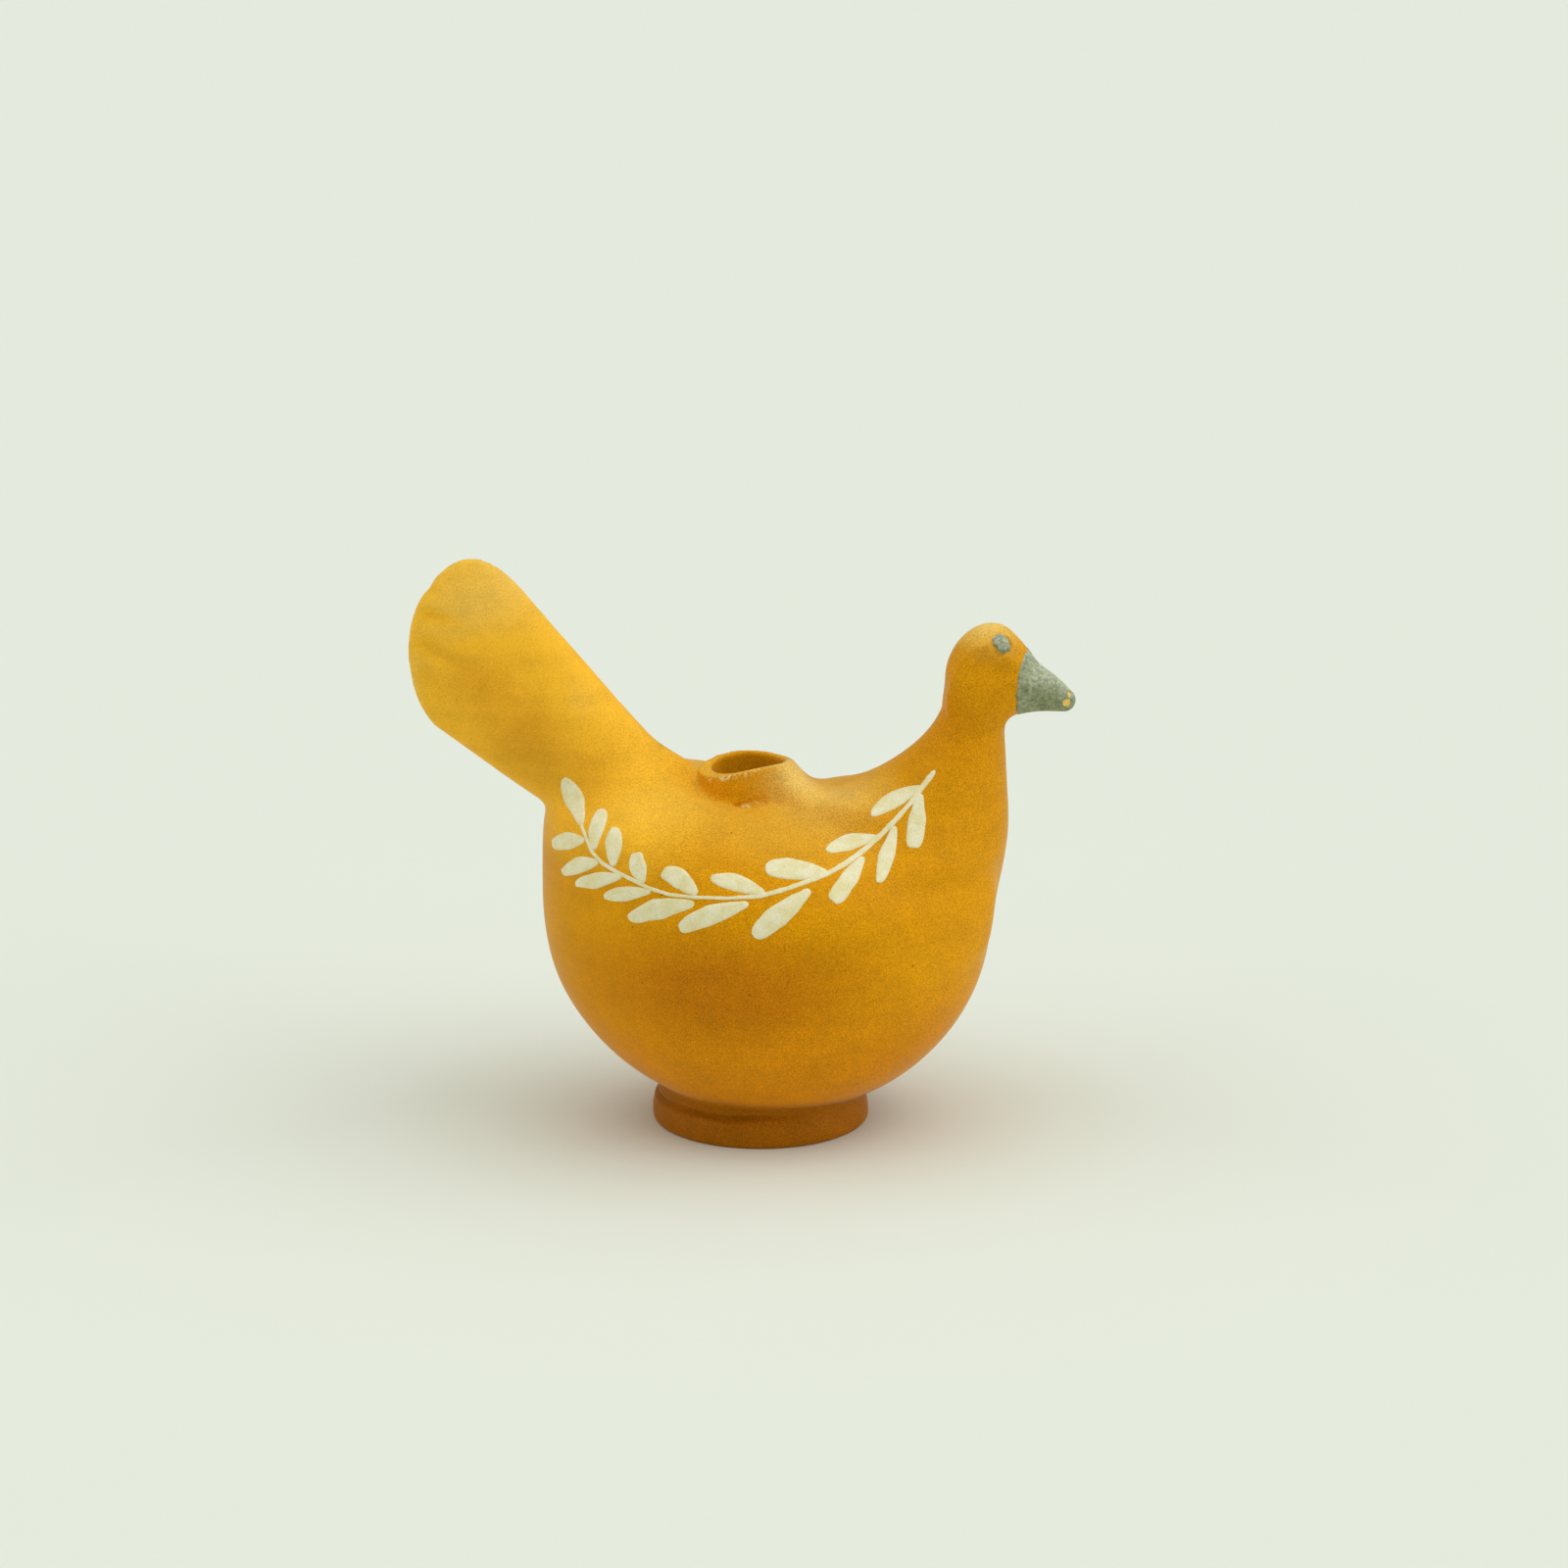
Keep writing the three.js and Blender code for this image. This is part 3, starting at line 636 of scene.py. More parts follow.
mouth_grid = Grid((mouth_x - 21, -21, 64), (mouth_x + 21, 21, 81), 0.4)
mouth_clay = opened(mouth_grid, clay_field(mouth_grid)) + CREASE_DEPTH * joint_crease(mouth_grid)
mouth_piece = clay_piece("clay_mouth", mouth_grid, mouth_clay, mouth_limit(mouth_grid), "mouth_collar")


# %% [markdown]
# ## Where the slip is worn, and where light and shade are painted
# The lip is chipped and the slip is rubbed through at the bill's tip. Pale patches on the crown, the tail,
# the shoulder and the buttress are painted highlight. Darker patches on the lower tail, on the neck's near
# flank and in the finger marks are painted shade. Masks could be painted by hand in Blender. Here each place
# is a soft spot with a size, stored as a number at every point of the mesh, which the material reads later.

# %% Coat, wear and painted light
# Each place: its middle, its size, and a change above 0 for pale and below 0 for painted shade. The pale
# places are painted highlight, except the one at the bill's tip, where the slip is rubbed through
COAT_AND_PAINTED_LIGHT_PLACES = [
    ((10.5, -5, 76.5), 6, 1.0),
    ((20, -10, 73), 9, 0.45),
    ((51, 0, 109), 6, 0.9),
    ((68, -1.5, 92), 3, 1.3),
    ((-58, -4, 113), 9, 0.35),
    ((-48, 0, 117), 8, 0.35),
    ((-36, -6, 91), 6, 0.35),
    ((45, -9, 86), 9, -0.5),
    ((-67, 0, 98), 5, 0.35),
    ((-44, -6, 86), 9, -0.9),
    ((-54, -4, 97), 7, -0.75),
    ((-31, -10, 76), 8, -0.6),
]
MARK_PAINTED_SHADE = 0.45
WORN_REACH, WORN_FULL = 0.9, 0.3
WORN_TURNS = np.radians([222, 283])
WORN_FOOT_START = np.radians(250)
LIP_DROP, FOOT_DROP = 0.2, 7.3


def coat_and_painted_light_at(points):
    """1 where a highlight is painted and where the slip is rubbed pale, below 0 where shade is painted"""
    x, y, z = points.T
    change = 0 * x
    for middle, size, strength in COAT_AND_PAINTED_LIGHT_PLACES:
        change = change + strength * np.exp(-((points - middle) ** 2).sum(axis=1) / size**2)
    # The grooves of the finger marks get painted shade
    for start, end, width, depth in TAIL_MARKS:
        change = change - MARK_PAINTED_SHADE * depth * finger_mark(x, y, z, start, end, width)
    return change


def points_of(piece):
    return np.array([vertex.co for vertex in piece.data.vertices]) / MM


def store(piece, name, values):
    layer = piece.data.attributes.new(name, "FLOAT", "POINT")
    layer.data.foreach_set("value", values.astype(np.float32))


# The coat value holds painted highlight, painted shade and the rubbed slip at the bill's tip
for piece in (clay_body, head_piece, mouth_piece):
    store(piece, "coat", coat_and_painted_light_at(points_of(piece)))
worn_turns = (turn > WORN_TURNS[0]) & (turn < WORN_TURNS[1])
worn_lip = collar_row(LIP_DROP)[worn_turns]
worn_foot = collar_row(FOOT_DROP)[worn_turns & (turn > WORN_FOOT_START)]
worn_lines = np.vstack([worn_lip, worn_foot])
mouth_points = points_of(mouth_piece)
apart = np.min([np.linalg.norm(mouth_points - place, axis=1) for place in worn_lines], axis=0)
store(mouth_piece, "worn", ease(WORN_REACH, WORN_FULL, apart))
print("Worn points on the collar:", int((apart < WORN_REACH).sum()))


# %% [markdown]
# ## The foot ring
# A coil of clay is pressed under the bowl. On the tail side the joint was left as a crevice, towards the
# head it was smoothed over. A lathe would give the ring and a groove all round, so a turned ring is
# melted onto the bowl and the groove fades out round it.

# %% Foot ring
foot_low, foot_high = box_mm("foot_ring")
foot_x = (foot_low[0] + foot_high[0]) / 2
foot_radius = (foot_high[0] - foot_low[0]) / 2
FOOT_HOLLOW, FOOT_TOP = 14, 9.5
# How far the ring stands out at each height
FOOT_PROFILE = [(0.1, 0), (0.5, 0.4), (0.7, 1.2), (0.7, 2.8), (0.3, 4.8), (-0.4, 6.6), (-1.2, FOOT_TOP)]
FOOT_FILLET = 2.5
FOOT_ROOT = 0.8
CREVICE_Z, CREVICE_SLOPE, CREVICE_DEPTH, CREVICE_HALF_HEIGHT = 6.6, 0.03, 1.0, 0.4
foot_rings = [(foot_radius + inset, z) for inset, z in FOOT_PROFILE]
foot_rings += [(FOOT_HOLLOW, FOOT_TOP), (FOOT_HOLLOW, 0)]
foot = skin([oval((foot_x, 0, z), (1, 0, 0), r, (0, 1, 0), r) for r, z in foot_rings], loop=True)

foot_grid = Grid((foot_x - 25, -25, -0.6), (foot_x + 25, 25, 12), 0.33)
x, y, z = foot_grid.axes()
under_clay = clay_field(foot_grid)
outside = ease(FOOT_HOLLOW, FOOT_HOLLOW + 4, np.hypot(x - foot_x, y))
tailward = ease(6, -10, x - foot_x + 0.3 * y) * outside
ring = foot_grid.field(foot) + waves(x, y, 0 * z, (31, 23, 17), 0.2, 8) * ease(0, 2, z)
coil = melt(ring, under_clay, FOOT_FILLET)
crevice = CREVICE_Z + CREVICE_SLOPE * (x - foot_x) + waves(x, y, 0 * z, (19, 11), 0.25, 6)
coil = coil + CREVICE_DEPTH * tailward * np.exp(-(((z - crevice) / CREVICE_HALF_HEIGHT) ** 2))
coil = np.maximum(coil, -under_clay - FOOT_ROOT)
coil = np.maximum(coil, ring - FOOT_FILLET)
points, quads = foot_grid.surface(coil)
foot_piece = piece_from("foot_coil", points, quads, foot_grid.normals(coil, points))
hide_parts("foot_ring")


# %% [markdown]
# ## Laying a drawing on the clay
# The painter draws straight on the curved clay. Blender's shrinkwrap could lay a flat drawing on it, but
# along one axis or to the nearest point, not along the lines of sight. Here eyes, sprig and the worn
# spots of the bill are placed on a card square to the camera, and each point slides along its line of
# sight until it touches the clay.

# %% Laying
START_BEFORE = 60
STEPS = 60
STRIDE = 0.8


def laid(card_points, side, *finer):
    """Points of the card laid on the clay along the camera's view, for the near side (-1) or mirrored (1)"""
    card_points = np.asarray(card_points, float)
    target = AIM + card_points[..., :1] * card_right + card_points[..., 1:] * card_up
    ray = target - camera_place
    ray /= np.linalg.norm(ray, axis=-1, keepdims=True)
    mirror = np.array([1, -side, 1])
    place = target - ray * START_BEFORE
    for grid, clay in ((whole, whole_clay), *finer):
        for _ in range(STEPS):
            gap = grid.sample(clay, place * mirror)
            place = place + ray * gap[..., None] * STRIDE
    place = place * mirror
    return place, grid.normals(clay, place)


print("The middle of the card touches the clay at", np.round(laid([(0, 0)], -1)[0][0], 1))


# %% [markdown]
# ## The bill's coat of grey slip
# The bill was dipped, so the slip is a skin of 0.15 mm with a soft edge that wanders a little. At two
# places near the tip it is rubbed through. A second colour in the clay's material would have no
# thickness, so the coat is a piece of its own, and at the rubbed spots it sinks below the clay's surface.

# %% Bill
COAT = 0.15
PAINT_EDGE_Z = [86, 91.6, 94.5, 97.7, 100.1, 102.2, 103.2, 108]
PAINT_EDGE_X = [57.8, 57.0, 56.8, 57.2, 57.7, 58.8, 60.0, 62.0]
PAINT_EDGE_ROUNDING = 0.3
RUBBED_SPOTS = [(59.4, 17.0), (59.9, 18.9)]
RUBBED_SIZES = [0.8, 0.5]
RUBBED_DEPTH = 0.5

bill_grid = Grid((55, -9, 85), (72, 9, 106), 0.25)
x, y, z = bill_grid.axes()
bill_clay = clay_field(bill_grid)
paint_edge = np.interp(z, PAINT_EDGE_Z, PAINT_EDGE_X) + waves(x, y, z, (5, 3.4, 2.3, 1.6), 0.1, 3)
thickness = COAT
for place, size in zip(laid(RUBBED_SPOTS, -1)[0], RUBBED_SIZES):
    spot = np.sqrt((x - place[0]) ** 2 + (y - place[1]) ** 2 + (z - place[2]) ** 2)
    spot = spot + waves(x, y, z, (1.7, 1.2, 0.9), 0.15, 4)
    thickness = thickness - RUBBED_DEPTH * ease(1.15 * size, 0.85 * size, spot)
bill_coat = carve(bill_clay - thickness, x - paint_edge, PAINT_EDGE_ROUNDING)
points, quads = bill_grid.surface(bill_coat)
bill_piece = piece_from("bill_slip", points, quads, bill_grid.normals(bill_coat, points))
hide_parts("beak")


# %% [markdown]
# ## The eyes
# Each eye is an oval dab of thick grey slip in its dimple, with a ragged edge. A squashed sphere would
# have a clean edge and no grip on the clay. So rings of points are laid on the head, raised in the middle
# and sunk at the rim, and closed underneath.

# %% Eyes
EYE_PLACE = np.array([45.7, 29.5])
EYE_LONG, EYE_SHORT = 2.35, 1.6
EYE_TURN = math.radians(-49)
EYE_RINGS = np.linspace(0.04, 1, 16)
EYE_HEIGHT, EYE_RIM_DROP, EYE_ROOT = 0.65, 0.75, 0.9
EYE_RAGGED, EYE_ROUGH = 0.1, 0.06
eye_way = np.array([math.cos(EYE_TURN), math.sin(EYE_TURN)])
eye_side = np.array([-eye_way[1], eye_way[0]])
eye_turn = np.linspace(0, 2 * np.pi, 72, endpoint=False)


def eye_dab(side):
    random = np.random.default_rng(12)
    edge = random.uniform(-EYE_RAGGED, EYE_RAGGED, 25)
    ragged = 1 + np.interp(eye_turn * 4, range(25), edge, period=25)
    reach = np.outer(EYE_RINGS, ragged)[..., None]
    flat = EYE_LONG * np.cos(eye_turn)[:, None] * eye_way + EYE_SHORT * np.sin(eye_turn)[:, None] * eye_side
    place, normal = laid(EYE_PLACE + reach * flat, side, (head_grid, head_clay))
    rough = random.uniform(-EYE_ROUGH, EYE_ROUGH, (len(EYE_RINGS), len(eye_turn)))
    height = EYE_HEIGHT - EYE_RIM_DROP * EYE_RINGS[:, None] ** 6 + rough
    top = place + normal * height[..., None]
    under = place[::-1] - normal[::-1] * EYE_ROOT
    return skin(np.concatenate([top, under]))


for side, name in ((-1, "eye_right"), (1, "eye_left")):
    points, triangles = eye_dab(side)
    eye_piece = piece_from(name + "_slip", points.astype(float), triangles)
    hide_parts(name)


# %% [markdown]
# ## Where the sprig's leaves and stem go
# The sprig runs from the tail's root over the shoulder onto the neck. A picture of it could be projected
# as a texture, but it would have no thickness and no crisp edge close up. So each leaf is listed with a
# few numbers in millimetres on the card.

# %% Places of leaves and stem
# Each leaf: where it leaves the stem, its tip, its width, how blunt its tip is and how far it bows left
LEAVES = [
    ((-42.6, -8.6), (-46.1, 1.4), 4.3, 1.8, -0.4),
    ((-39.9, -13.8), (-37.7, -5.3), 3.4, 2.4, 0.6),
    ((-35.9, -17.3), (-35.8, -9.0), 3.7, 2.2, 0),
    ((-29.6, -20.9), (-31.5, -14.5), 3.7, 3.6, 0.1),
    ((-18.3, -23.2), (-25.1, -17.7), 4.3, 3.8, -0.2),
    ((-4.0, -23.1), (-15.4, -19.3), 3.9, 2.2, -0.3),
    ((9.1, -18.8), (-4.0, -17.6), 4.6, 2.6, -0.3),
    ((19.8, -11.2), (8.7, -13.8), 3.5, 1.8, -0.4),
    ((29.1, -0.7), (18.5, -6.9), 3.7, 1.8, -0.8),
    ((-41.9, -11.8), (-48.7, -12.1), 3.8, 3.0, 0),
    ((-39.0, -16.4), (-46.8, -18.1), 3.7, 2.6, -0.2),
    ((-34.0, -19.3), (-43.7, -21.5), 3.5, 2.2, -0.2),
    ((-28.0, -22.6), (-37.8, -23.9), 3.3, 2.2, -0.2),
    ((-18.8, -25.1), (-32.9, -27.6), 4.6, 2.2, -0.2),
    ((-7.4, -25.1), (-22.2, -30.0), 4.3, 3.0, -0.2),
    ((5.5, -22.2), (-6.7, -31.7), 4.9, 2.5, 0.2),
    ((16.7, -15.3), (10.1, -24.6), 4.0, 3.8, 0.2),
    ((23.3, -8.8), (19.4, -20.6), 3.6, 2.2, 0.3),
    ((28.7, -2.0), (27.3, -13.5), 3.9, 3.6, -0.1),
]
STEM = [
    (-43.2, -6.6), (-42.5, -8.8), (-41.6, -11.2), (-40.2, -14.4), (-38.1, -16.7), (-35.2, -18.4),
    (-32.3, -19.9), (-28.3, -21.9), (-24.2, -23.2), (-19.0, -23.8), (-12.1, -24.0), (-5.1, -23.6),
    (1.0, -21.9), (8.8, -19.0), (12.9, -16.7), (16.9, -13.8), (19.8, -11.2), (23.3, -7.7),
    (26.8, -3.7), (29.6, 0.1), (31.2, 2.2), (32.5, 3.9),
]
# Half widths of the stem at these distances from its right end
STEM_PLACES = [0, 1.5, 3, 6, 14, 30, 40, 52, 95]
STEM_HALF_WIDTHS = [0.05, 0.5, 0.68, 0.55, 0.62, 0.62, 0.58, 0.45, 0.42]
print("Leaves:", len(LEAVES))


# %% [markdown]
# ## One brush stroke
# Each leaf is one press of a loaded brush: it starts thin, swells and ends round. A stroke is drawn flat
# on the card as rows across its length, laid on the clay and raised by the slip's thickness. Its edges
# dip under the clay, which draws a crisp outline without cutting anything.

# %% Strokes of slip
SLIP = 0.22
EDGE_DIP, STROKE_ROOT = 0.12, 0.5
ROW = np.linspace(-1, 1, 11)
ROOT_ROW = [0.8, 0, -0.8]
LEAF_WIDEST = 0.57
LEAF_START, LEAF_START_WIDTH = 0.06, 0.32
LEAF_FULLNESS = 1.06
LEAF_SLANT = 0.2
RAGGED_STEP = {"leaf": 1.7, "stem": 1.3}


def brush_stroke(middle, half_widths, side):
    """A closed strip of slip along a line on the card, with its half widths to the left and to the right"""
    along = np.gradient(middle, axis=0)
    along /= np.linalg.norm(along, axis=1, keepdims=True)
    across = np.stack([-along[:, 1], along[:, 0]], -1)
    spread = np.concatenate([ROW, ROOT_ROW])
    shift = np.where(spread > 0, half_widths[0][:, None], half_widths[1][:, None]) * spread
    place, normal = laid(middle[:, None] + across[:, None] * shift[..., None], side)
    ends = 1 - np.abs(np.linspace(-1, 1, len(middle))) ** 14
    height = between(-EDGE_DIP, SLIP, np.outer(ends, 1 - ROW**6))
    under = np.full((len(middle), len(ROOT_ROW)), -STROKE_ROOT)
    return skin(place + normal * np.concatenate([height, under], axis=1)[..., None])


def leaf_stroke(base, tip, width, bluntness, bow, side, seed):
    random = np.random.default_rng(seed)
    share = (1 - np.cos(np.linspace(0.06, np.pi - 0.06, 44))) / 2
    along = np.array(tip) - np.array(base)
    length = np.linalg.norm(along)
    across = np.array([-along[1], along[0]]) / length
    middle = np.array(base) + along * share[:, None] + across * (bow * 4 * share * (1 - share))[:, None]
    swelling = np.sin(np.pi / 2 * np.clip(share / LEAF_WIDEST, 0, 1)) ** 1.2
    opening = between(LEAF_START_WIDTH, 1, swelling)
    opening = opening * profile(np.clip(1 - share / LEAF_START, 0, 1), 2)
    slant = random.uniform(-LEAF_SLANT, LEAF_SLANT)
    half_widths = []
    for lean in (slant, -slant):
        to_tip = np.clip((share - LEAF_WIDEST) / (1 - LEAF_WIDEST), 0, 1)
        closing = profile(to_tip, bluntness * (1 + 3 * lean))
        knots = np.arange(0, 20, RAGGED_STEP["leaf"])
        ragged = np.interp(share * length, knots, random.uniform(0.92, 1.06, len(knots)))
        half_widths.append(LEAF_FULLNESS * width / 2 * opening * closing * ragged)
    return brush_stroke(middle, half_widths, side)


def stem_stroke(side):
    bends = np.array(STEM)
    distance = np.concatenate([[0], np.cumsum(np.linalg.norm(np.diff(bends, axis=0), axis=1))])
    even = np.linspace(0, distance[-1], 220)
    middle = np.stack([np.interp(even, distance, bends[:, i]) for i in range(2)], -1)
    random = np.random.default_rng(77)
    knots = np.arange(0, 120, RAGGED_STEP["stem"])
    ragged = np.interp(even, knots, random.uniform(0.85, 1.12, len(knots)))
    from_end = distance[-1] - even
    half_width = np.interp(from_end, STEM_PLACES, STEM_HALF_WIDTHS) * ragged
    return brush_stroke(middle, [half_width, half_width], side)


print("A stroke has", len(ROW), "points across")


# %% [markdown]
# ## The two sprigs
# The photograph shows one side. The potter would paint the other freehand, much the same, so the far side
# gets the same strokes, mirrored. All strokes of a side join into one piece, as they are one coat of
# slip.

# %% Sprigs
for side, name in ((-1, "sprig_right"), (1, "sprig_left")):
    strokes = [leaf_stroke(*leaf, side, seed) for seed, leaf in enumerate(LEAVES)]
    strokes.append(stem_stroke(side))
    points, triangles, count = [], [], 0
    for stroke_points, stroke_triangles in strokes:
        points.append(stroke_points)
        triangles.append(stroke_triangles.astype(int) + count)
        count += len(stroke_points)
    points, triangles = np.vstack(points).astype(float), np.vstack(triangles)
    sprig_piece = piece_from(name + "_slip", points, triangles)
    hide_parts(name)


# %% [markdown]
# ## Materials
# All finishes are slips, thin coats of coloured clay. Fired earthenware slip is matt, with a faint sheen
# where it was rubbed. Pictures could be wrapped round the bird, but Blender's own patterns need no seams
# and stay sharp.

# %% Node helper and colours
def linear(hex_colour):
    channels = [int(hex_colour[i : i + 2], 16) / 255 for i in (1, 3, 5)]
    return tuple(c / 12.92 if c <= 0.04045 else ((c + 0.055) / 1.055) ** 2.4 for c in channels) + (1,)


def add_node(tree, kind, settings=None, **links):
    """Adds a shader node; its inputs, by name or as i and a number, get output sockets or plain values"""
    node = tree.nodes.new("ShaderNode" + kind)
    for key, value in (settings or {}).items():
        setattr(node, key, value)
    for key, value in links.items():
        numbered = key[0] == "i" and key[1:].isdigit()
        socket = node.inputs[int(key[1:]) if numbered else key.replace("_", " ")]
        if isinstance(value, bpy.types.NodeSocket):
            tree.links.new(value, socket)
        else:
            socket.default_value = value
    return node


def new_material(name, **finish):
    """A material, its node tree and its shader, whose plain values are given by name"""
    material = bpy.data.materials.new(name)
    material.use_nodes = True
    shader = material.node_tree.nodes["Principled BSDF"]
    for key, value in finish.items():
        shader.inputs[key.replace("_", " ")].default_value = value
    return material, material.node_tree, shader


def per_mm(size):
    """Texture scale for a pattern whose patches are this many millimetres wide"""
    return 1 / (size * MM)


# Settings that several nodes share
COLOUR_MIX = {"data_type": "RGBA"}
COLOUR_TIMES = {"data_type": "RGBA", "blend_type": "MULTIPLY"}
TIMES, PLUS = {"operation": "MULTIPLY"}, {"operation": "ADD"}
print("Ochre in linear colour:", np.round(linear("#E09A04")[:3], 3))


# %% [markdown]
# ## Ochre slip: patterns
# Yellow iron-bearing slip, brushed on and rubbed, is mottled in patches the size of a fingertip, streaked
# by the brush and sandy close up. A painted picture would need a seam somewhere. Noise in the object's
# own space has none, and its scale follows from real sizes in millimetres.

# %% Ochre slip patterns
STREAK_STRETCH = 0.06
PIT_SPACING = 9
# Almost no mirror gloss, and a faint warm sheen for the rubbed, powdery skin
sheen = {"Sheen_Weight": 0.35, "Sheen_Roughness": 0.25, "Sheen_Tint": linear("#FFF0C8")}
ochre_slip, tree, shader = new_material("ochre_slip_earthenware", Specular_IOR_Level=0.06, **sheen)
place = add_node(tree, "TexCoord").outputs["Object"]
stretch = (STREAK_STRETCH, STREAK_STRETCH, 1)
brushed = add_node(tree, "Mapping", Vector=place, Scale=stretch).outputs[0]
# Each noise: its size, its detail and where it lies. Real grit is about 0.1 mm or finer and wouldn't show, so
# the sand is drawn coarser, at 0.3 mm
OCHRE_NOISES = {
    "mottle": (15, 3.0, place),
    "blotch": (4, 4.0, place),
    "sand": (0.3, 2.0, place),
    "streak": (2.5, 3.0, brushed),
    "flecks": (0.9, 3.0, place),
}
noise = {}
for name, (size, detail, vector) in OCHRE_NOISES.items():
    node = add_node(tree, "TexNoise", Vector=vector, Scale=per_mm(size), Detail=detail)
    noise[name] = node.outputs[0]
pits = add_node(tree, "TexVoronoi", Vector=place, Scale=per_mm(PIT_SPACING)).outputs["Distance"]
print("Ochre noises:", ", ".join(noise))


# %% [markdown]
# ## Ochre slip: thick, thin and painted light
# Slip runs and settles, so it is warm on the belly and darker and redder towards the foot. Light and shade
# are painted in too: a pale yellow on upward-facing surfaces and the crown is painted top light, and darker
# orange round the middle of the belly is painted shade. One flat colour would look like plastic. So each
# layer's share follows the height, the direction of the surface, a pattern, or the coat, painted light and
# wear stored before.

# %% Ochre slip shares
RAMP_TOP = 120
along_x, height = (add_node(tree, "SeparateXYZ", Vector=place).outputs[axis] for axis in "XZ")
normal = add_node(tree, "NewGeometry").outputs["Normal"]
upward = add_node(tree, "SeparateXYZ", Vector=normal).outputs["Z"]
# Painted top light: upward-facing surfaces, and the crown more, get a paler yellow
crown_light = add_node(tree, "MapRange", Value=height, i1=96 * MM, i2=106 * MM, i4=0.3).outputs[0]
lit_from_above = add_node(tree, "Math", PLUS, i0=upward, i1=crown_light).outputs[0]
# The coat value above 0 is painted highlight, and rubbed slip at the bill's tip; below 0 it is painted shade
coat_and_painted_light = add_node(tree, "Attribute", {"attribute_name": "coat"}).outputs["Fac"]
worn = add_node(tree, "Attribute", {"attribute_name": "worn"}).outputs["Fac"]
# Painted shade: a band of darker orange round the middle of the belly, about 40 mm up, on both sides
belly_shade_place = {"Location": (0.1, 0, -2.5), "Scale": (per_mm(40), 0, per_mm(16))}
belly_shade_coords = add_node(tree, "Mapping", Vector=place, **belly_shade_place).outputs[0]
belly_shade_spot = add_node(tree, "TexGradient", {"gradient_type": "SPHERICAL"}, Vector=belly_shade_coords).outputs["Fac"]
# Each share: what it follows, from which value to which, and the share at these two values
OCHRE_SHARES = {
    "level": (height, 0.0, RAMP_TOP * MM, 0.0, 1.0),
    "tail": (along_x, -4 * MM, -20 * MM, 0.0, 0.9),
    "belly": (height, 60 * MM, 71 * MM, 1.0, 0.0),
    "belly_shade": (belly_shade_spot, 0.0, 0.7, 0.0, 0.8),
    "painted_top_light": (lit_from_above, 0.76, 1.0, 0.0, 0.35),
    "above_foot": (height, 25 * MM, 45 * MM, 0.0, 1.0),
    "rubbed_and_highlight": (coat_and_painted_light, 0.0, 1.0, 0.0, 0.9),
    "painted_shade": (coat_and_painted_light, 0.0, -1.0, 0.0, 0.5),
    "gritty": (along_x, -35 * MM, -10 * MM, 0.5, 1.0),
    "pitted": (pits, 0.02, 0.035, 0.45, 1.0),
    "bare": (noise["flecks"], 0.5, 0.6, 0.0, 0.9),
    "dull": (noise["blotch"], 0.3, 0.7, 0.42, 0.56),
}
share = {}
for name, (value, low, high, first, last) in OCHRE_SHARES.items():
    node = add_node(tree, "MapRange", Value=value, i1=low, i2=high, i3=first, i4=last)
    share[name] = node.outputs[0]
top_highlight = add_node(tree, "Math", TIMES, i0=share["painted_top_light"], i1=share["above_foot"]).outputs[0]
chipped = add_node(tree, "Math", TIMES, i0=worn, i1=share["bare"]).outputs[0]
print("Ochre shares:", ", ".join(share))


# %% [markdown]
# ## Ochre slip: layers of colour
# The potter's coats lie over each other, so the colours do too, and painted light and shade lie among
# them: first a ramp from the foot up, then one layer after another, each with its share. A single large
# ramp couldn't tell the tail from the head.

# %% Ochre slip layers
# Colours of painted top light, of the tail (partly painted light), of painted shade, and of painted highlight
# with rubbed slip
TOP_HIGHLIGHT_SLIP, TAIL_SLIP_AND_LIGHT, PAINTED_SHADE_SLIP, RUBBED_AND_HIGHLIGHT_SLIP = "#E9BE44", "#FFC132", "#C67404", "#F4CE70"
# Heights in millimetres, from the foot up. Darker and redder towards the bottom; the red-brown at the foot
# is partly thinner slip and partly painted shade under the belly
SLIP_AND_FOOT_SHADE_BY_HEIGHT = [
    (3, "#A86405"),
    (8.5, "#A86405"),
    (11, "#DC8A04"),
    (24, "#DE8E04"),
    (40, "#E09A04"),
    (60, "#DC9605"),
    (120, "#D8940C"),
]
ramp = add_node(tree, "ValToRGB", Fac=share["level"])
while len(ramp.color_ramp.elements) < len(SLIP_AND_FOOT_SHADE_BY_HEIGHT):
    ramp.color_ramp.elements.new(1.0)
for element, (z, colour) in zip(ramp.color_ramp.elements, SLIP_AND_FOOT_SHADE_BY_HEIGHT):
    element.position = z / RAMP_TOP
    element.color = linear(colour)
by_height = ramp.outputs[0]
# Of these layers, the darker orange on the belly's middle and the patches below 0 are painted shade, and the
# pale yellow on top and the pale patches are painted highlight, partly rubbed slip
OCHRE_LAYERS = [
    # The tail's brighter yellow is partly its own slip and partly painted light
    (share["tail"], linear(TAIL_SLIP_AND_LIGHT)),
    (share["belly"], by_height),
    (share["belly_shade"], linear(PAINTED_SHADE_SLIP)),
    (top_highlight, linear(TOP_HIGHLIGHT_SLIP)),
    (share["rubbed_and_highlight"], linear(RUBBED_AND_HIGHLIGHT_SLIP)),
    (share["painted_shade"], linear(PAINTED_SHADE_SLIP)),
]
tone = by_height
for amount, colour in OCHRE_LAYERS:
    tone = add_node(tree, "Mix", COLOUR_MIX, i0=amount, i6=tone, i7=colour).outputs[2]
print("Ochre layers:", len(OCHRE_LAYERS))


# %% [markdown]
# ## Ochre slip: surface
# The patterns now darken and lighten the colour, pits and chips are set on top, and the sand gives a
# little relief. One more painted picture could do this, but relief from the same sand stays in step with
# its colour.

# %% Ochre slip surface
WORN_SLIP = "#EFDC9A"
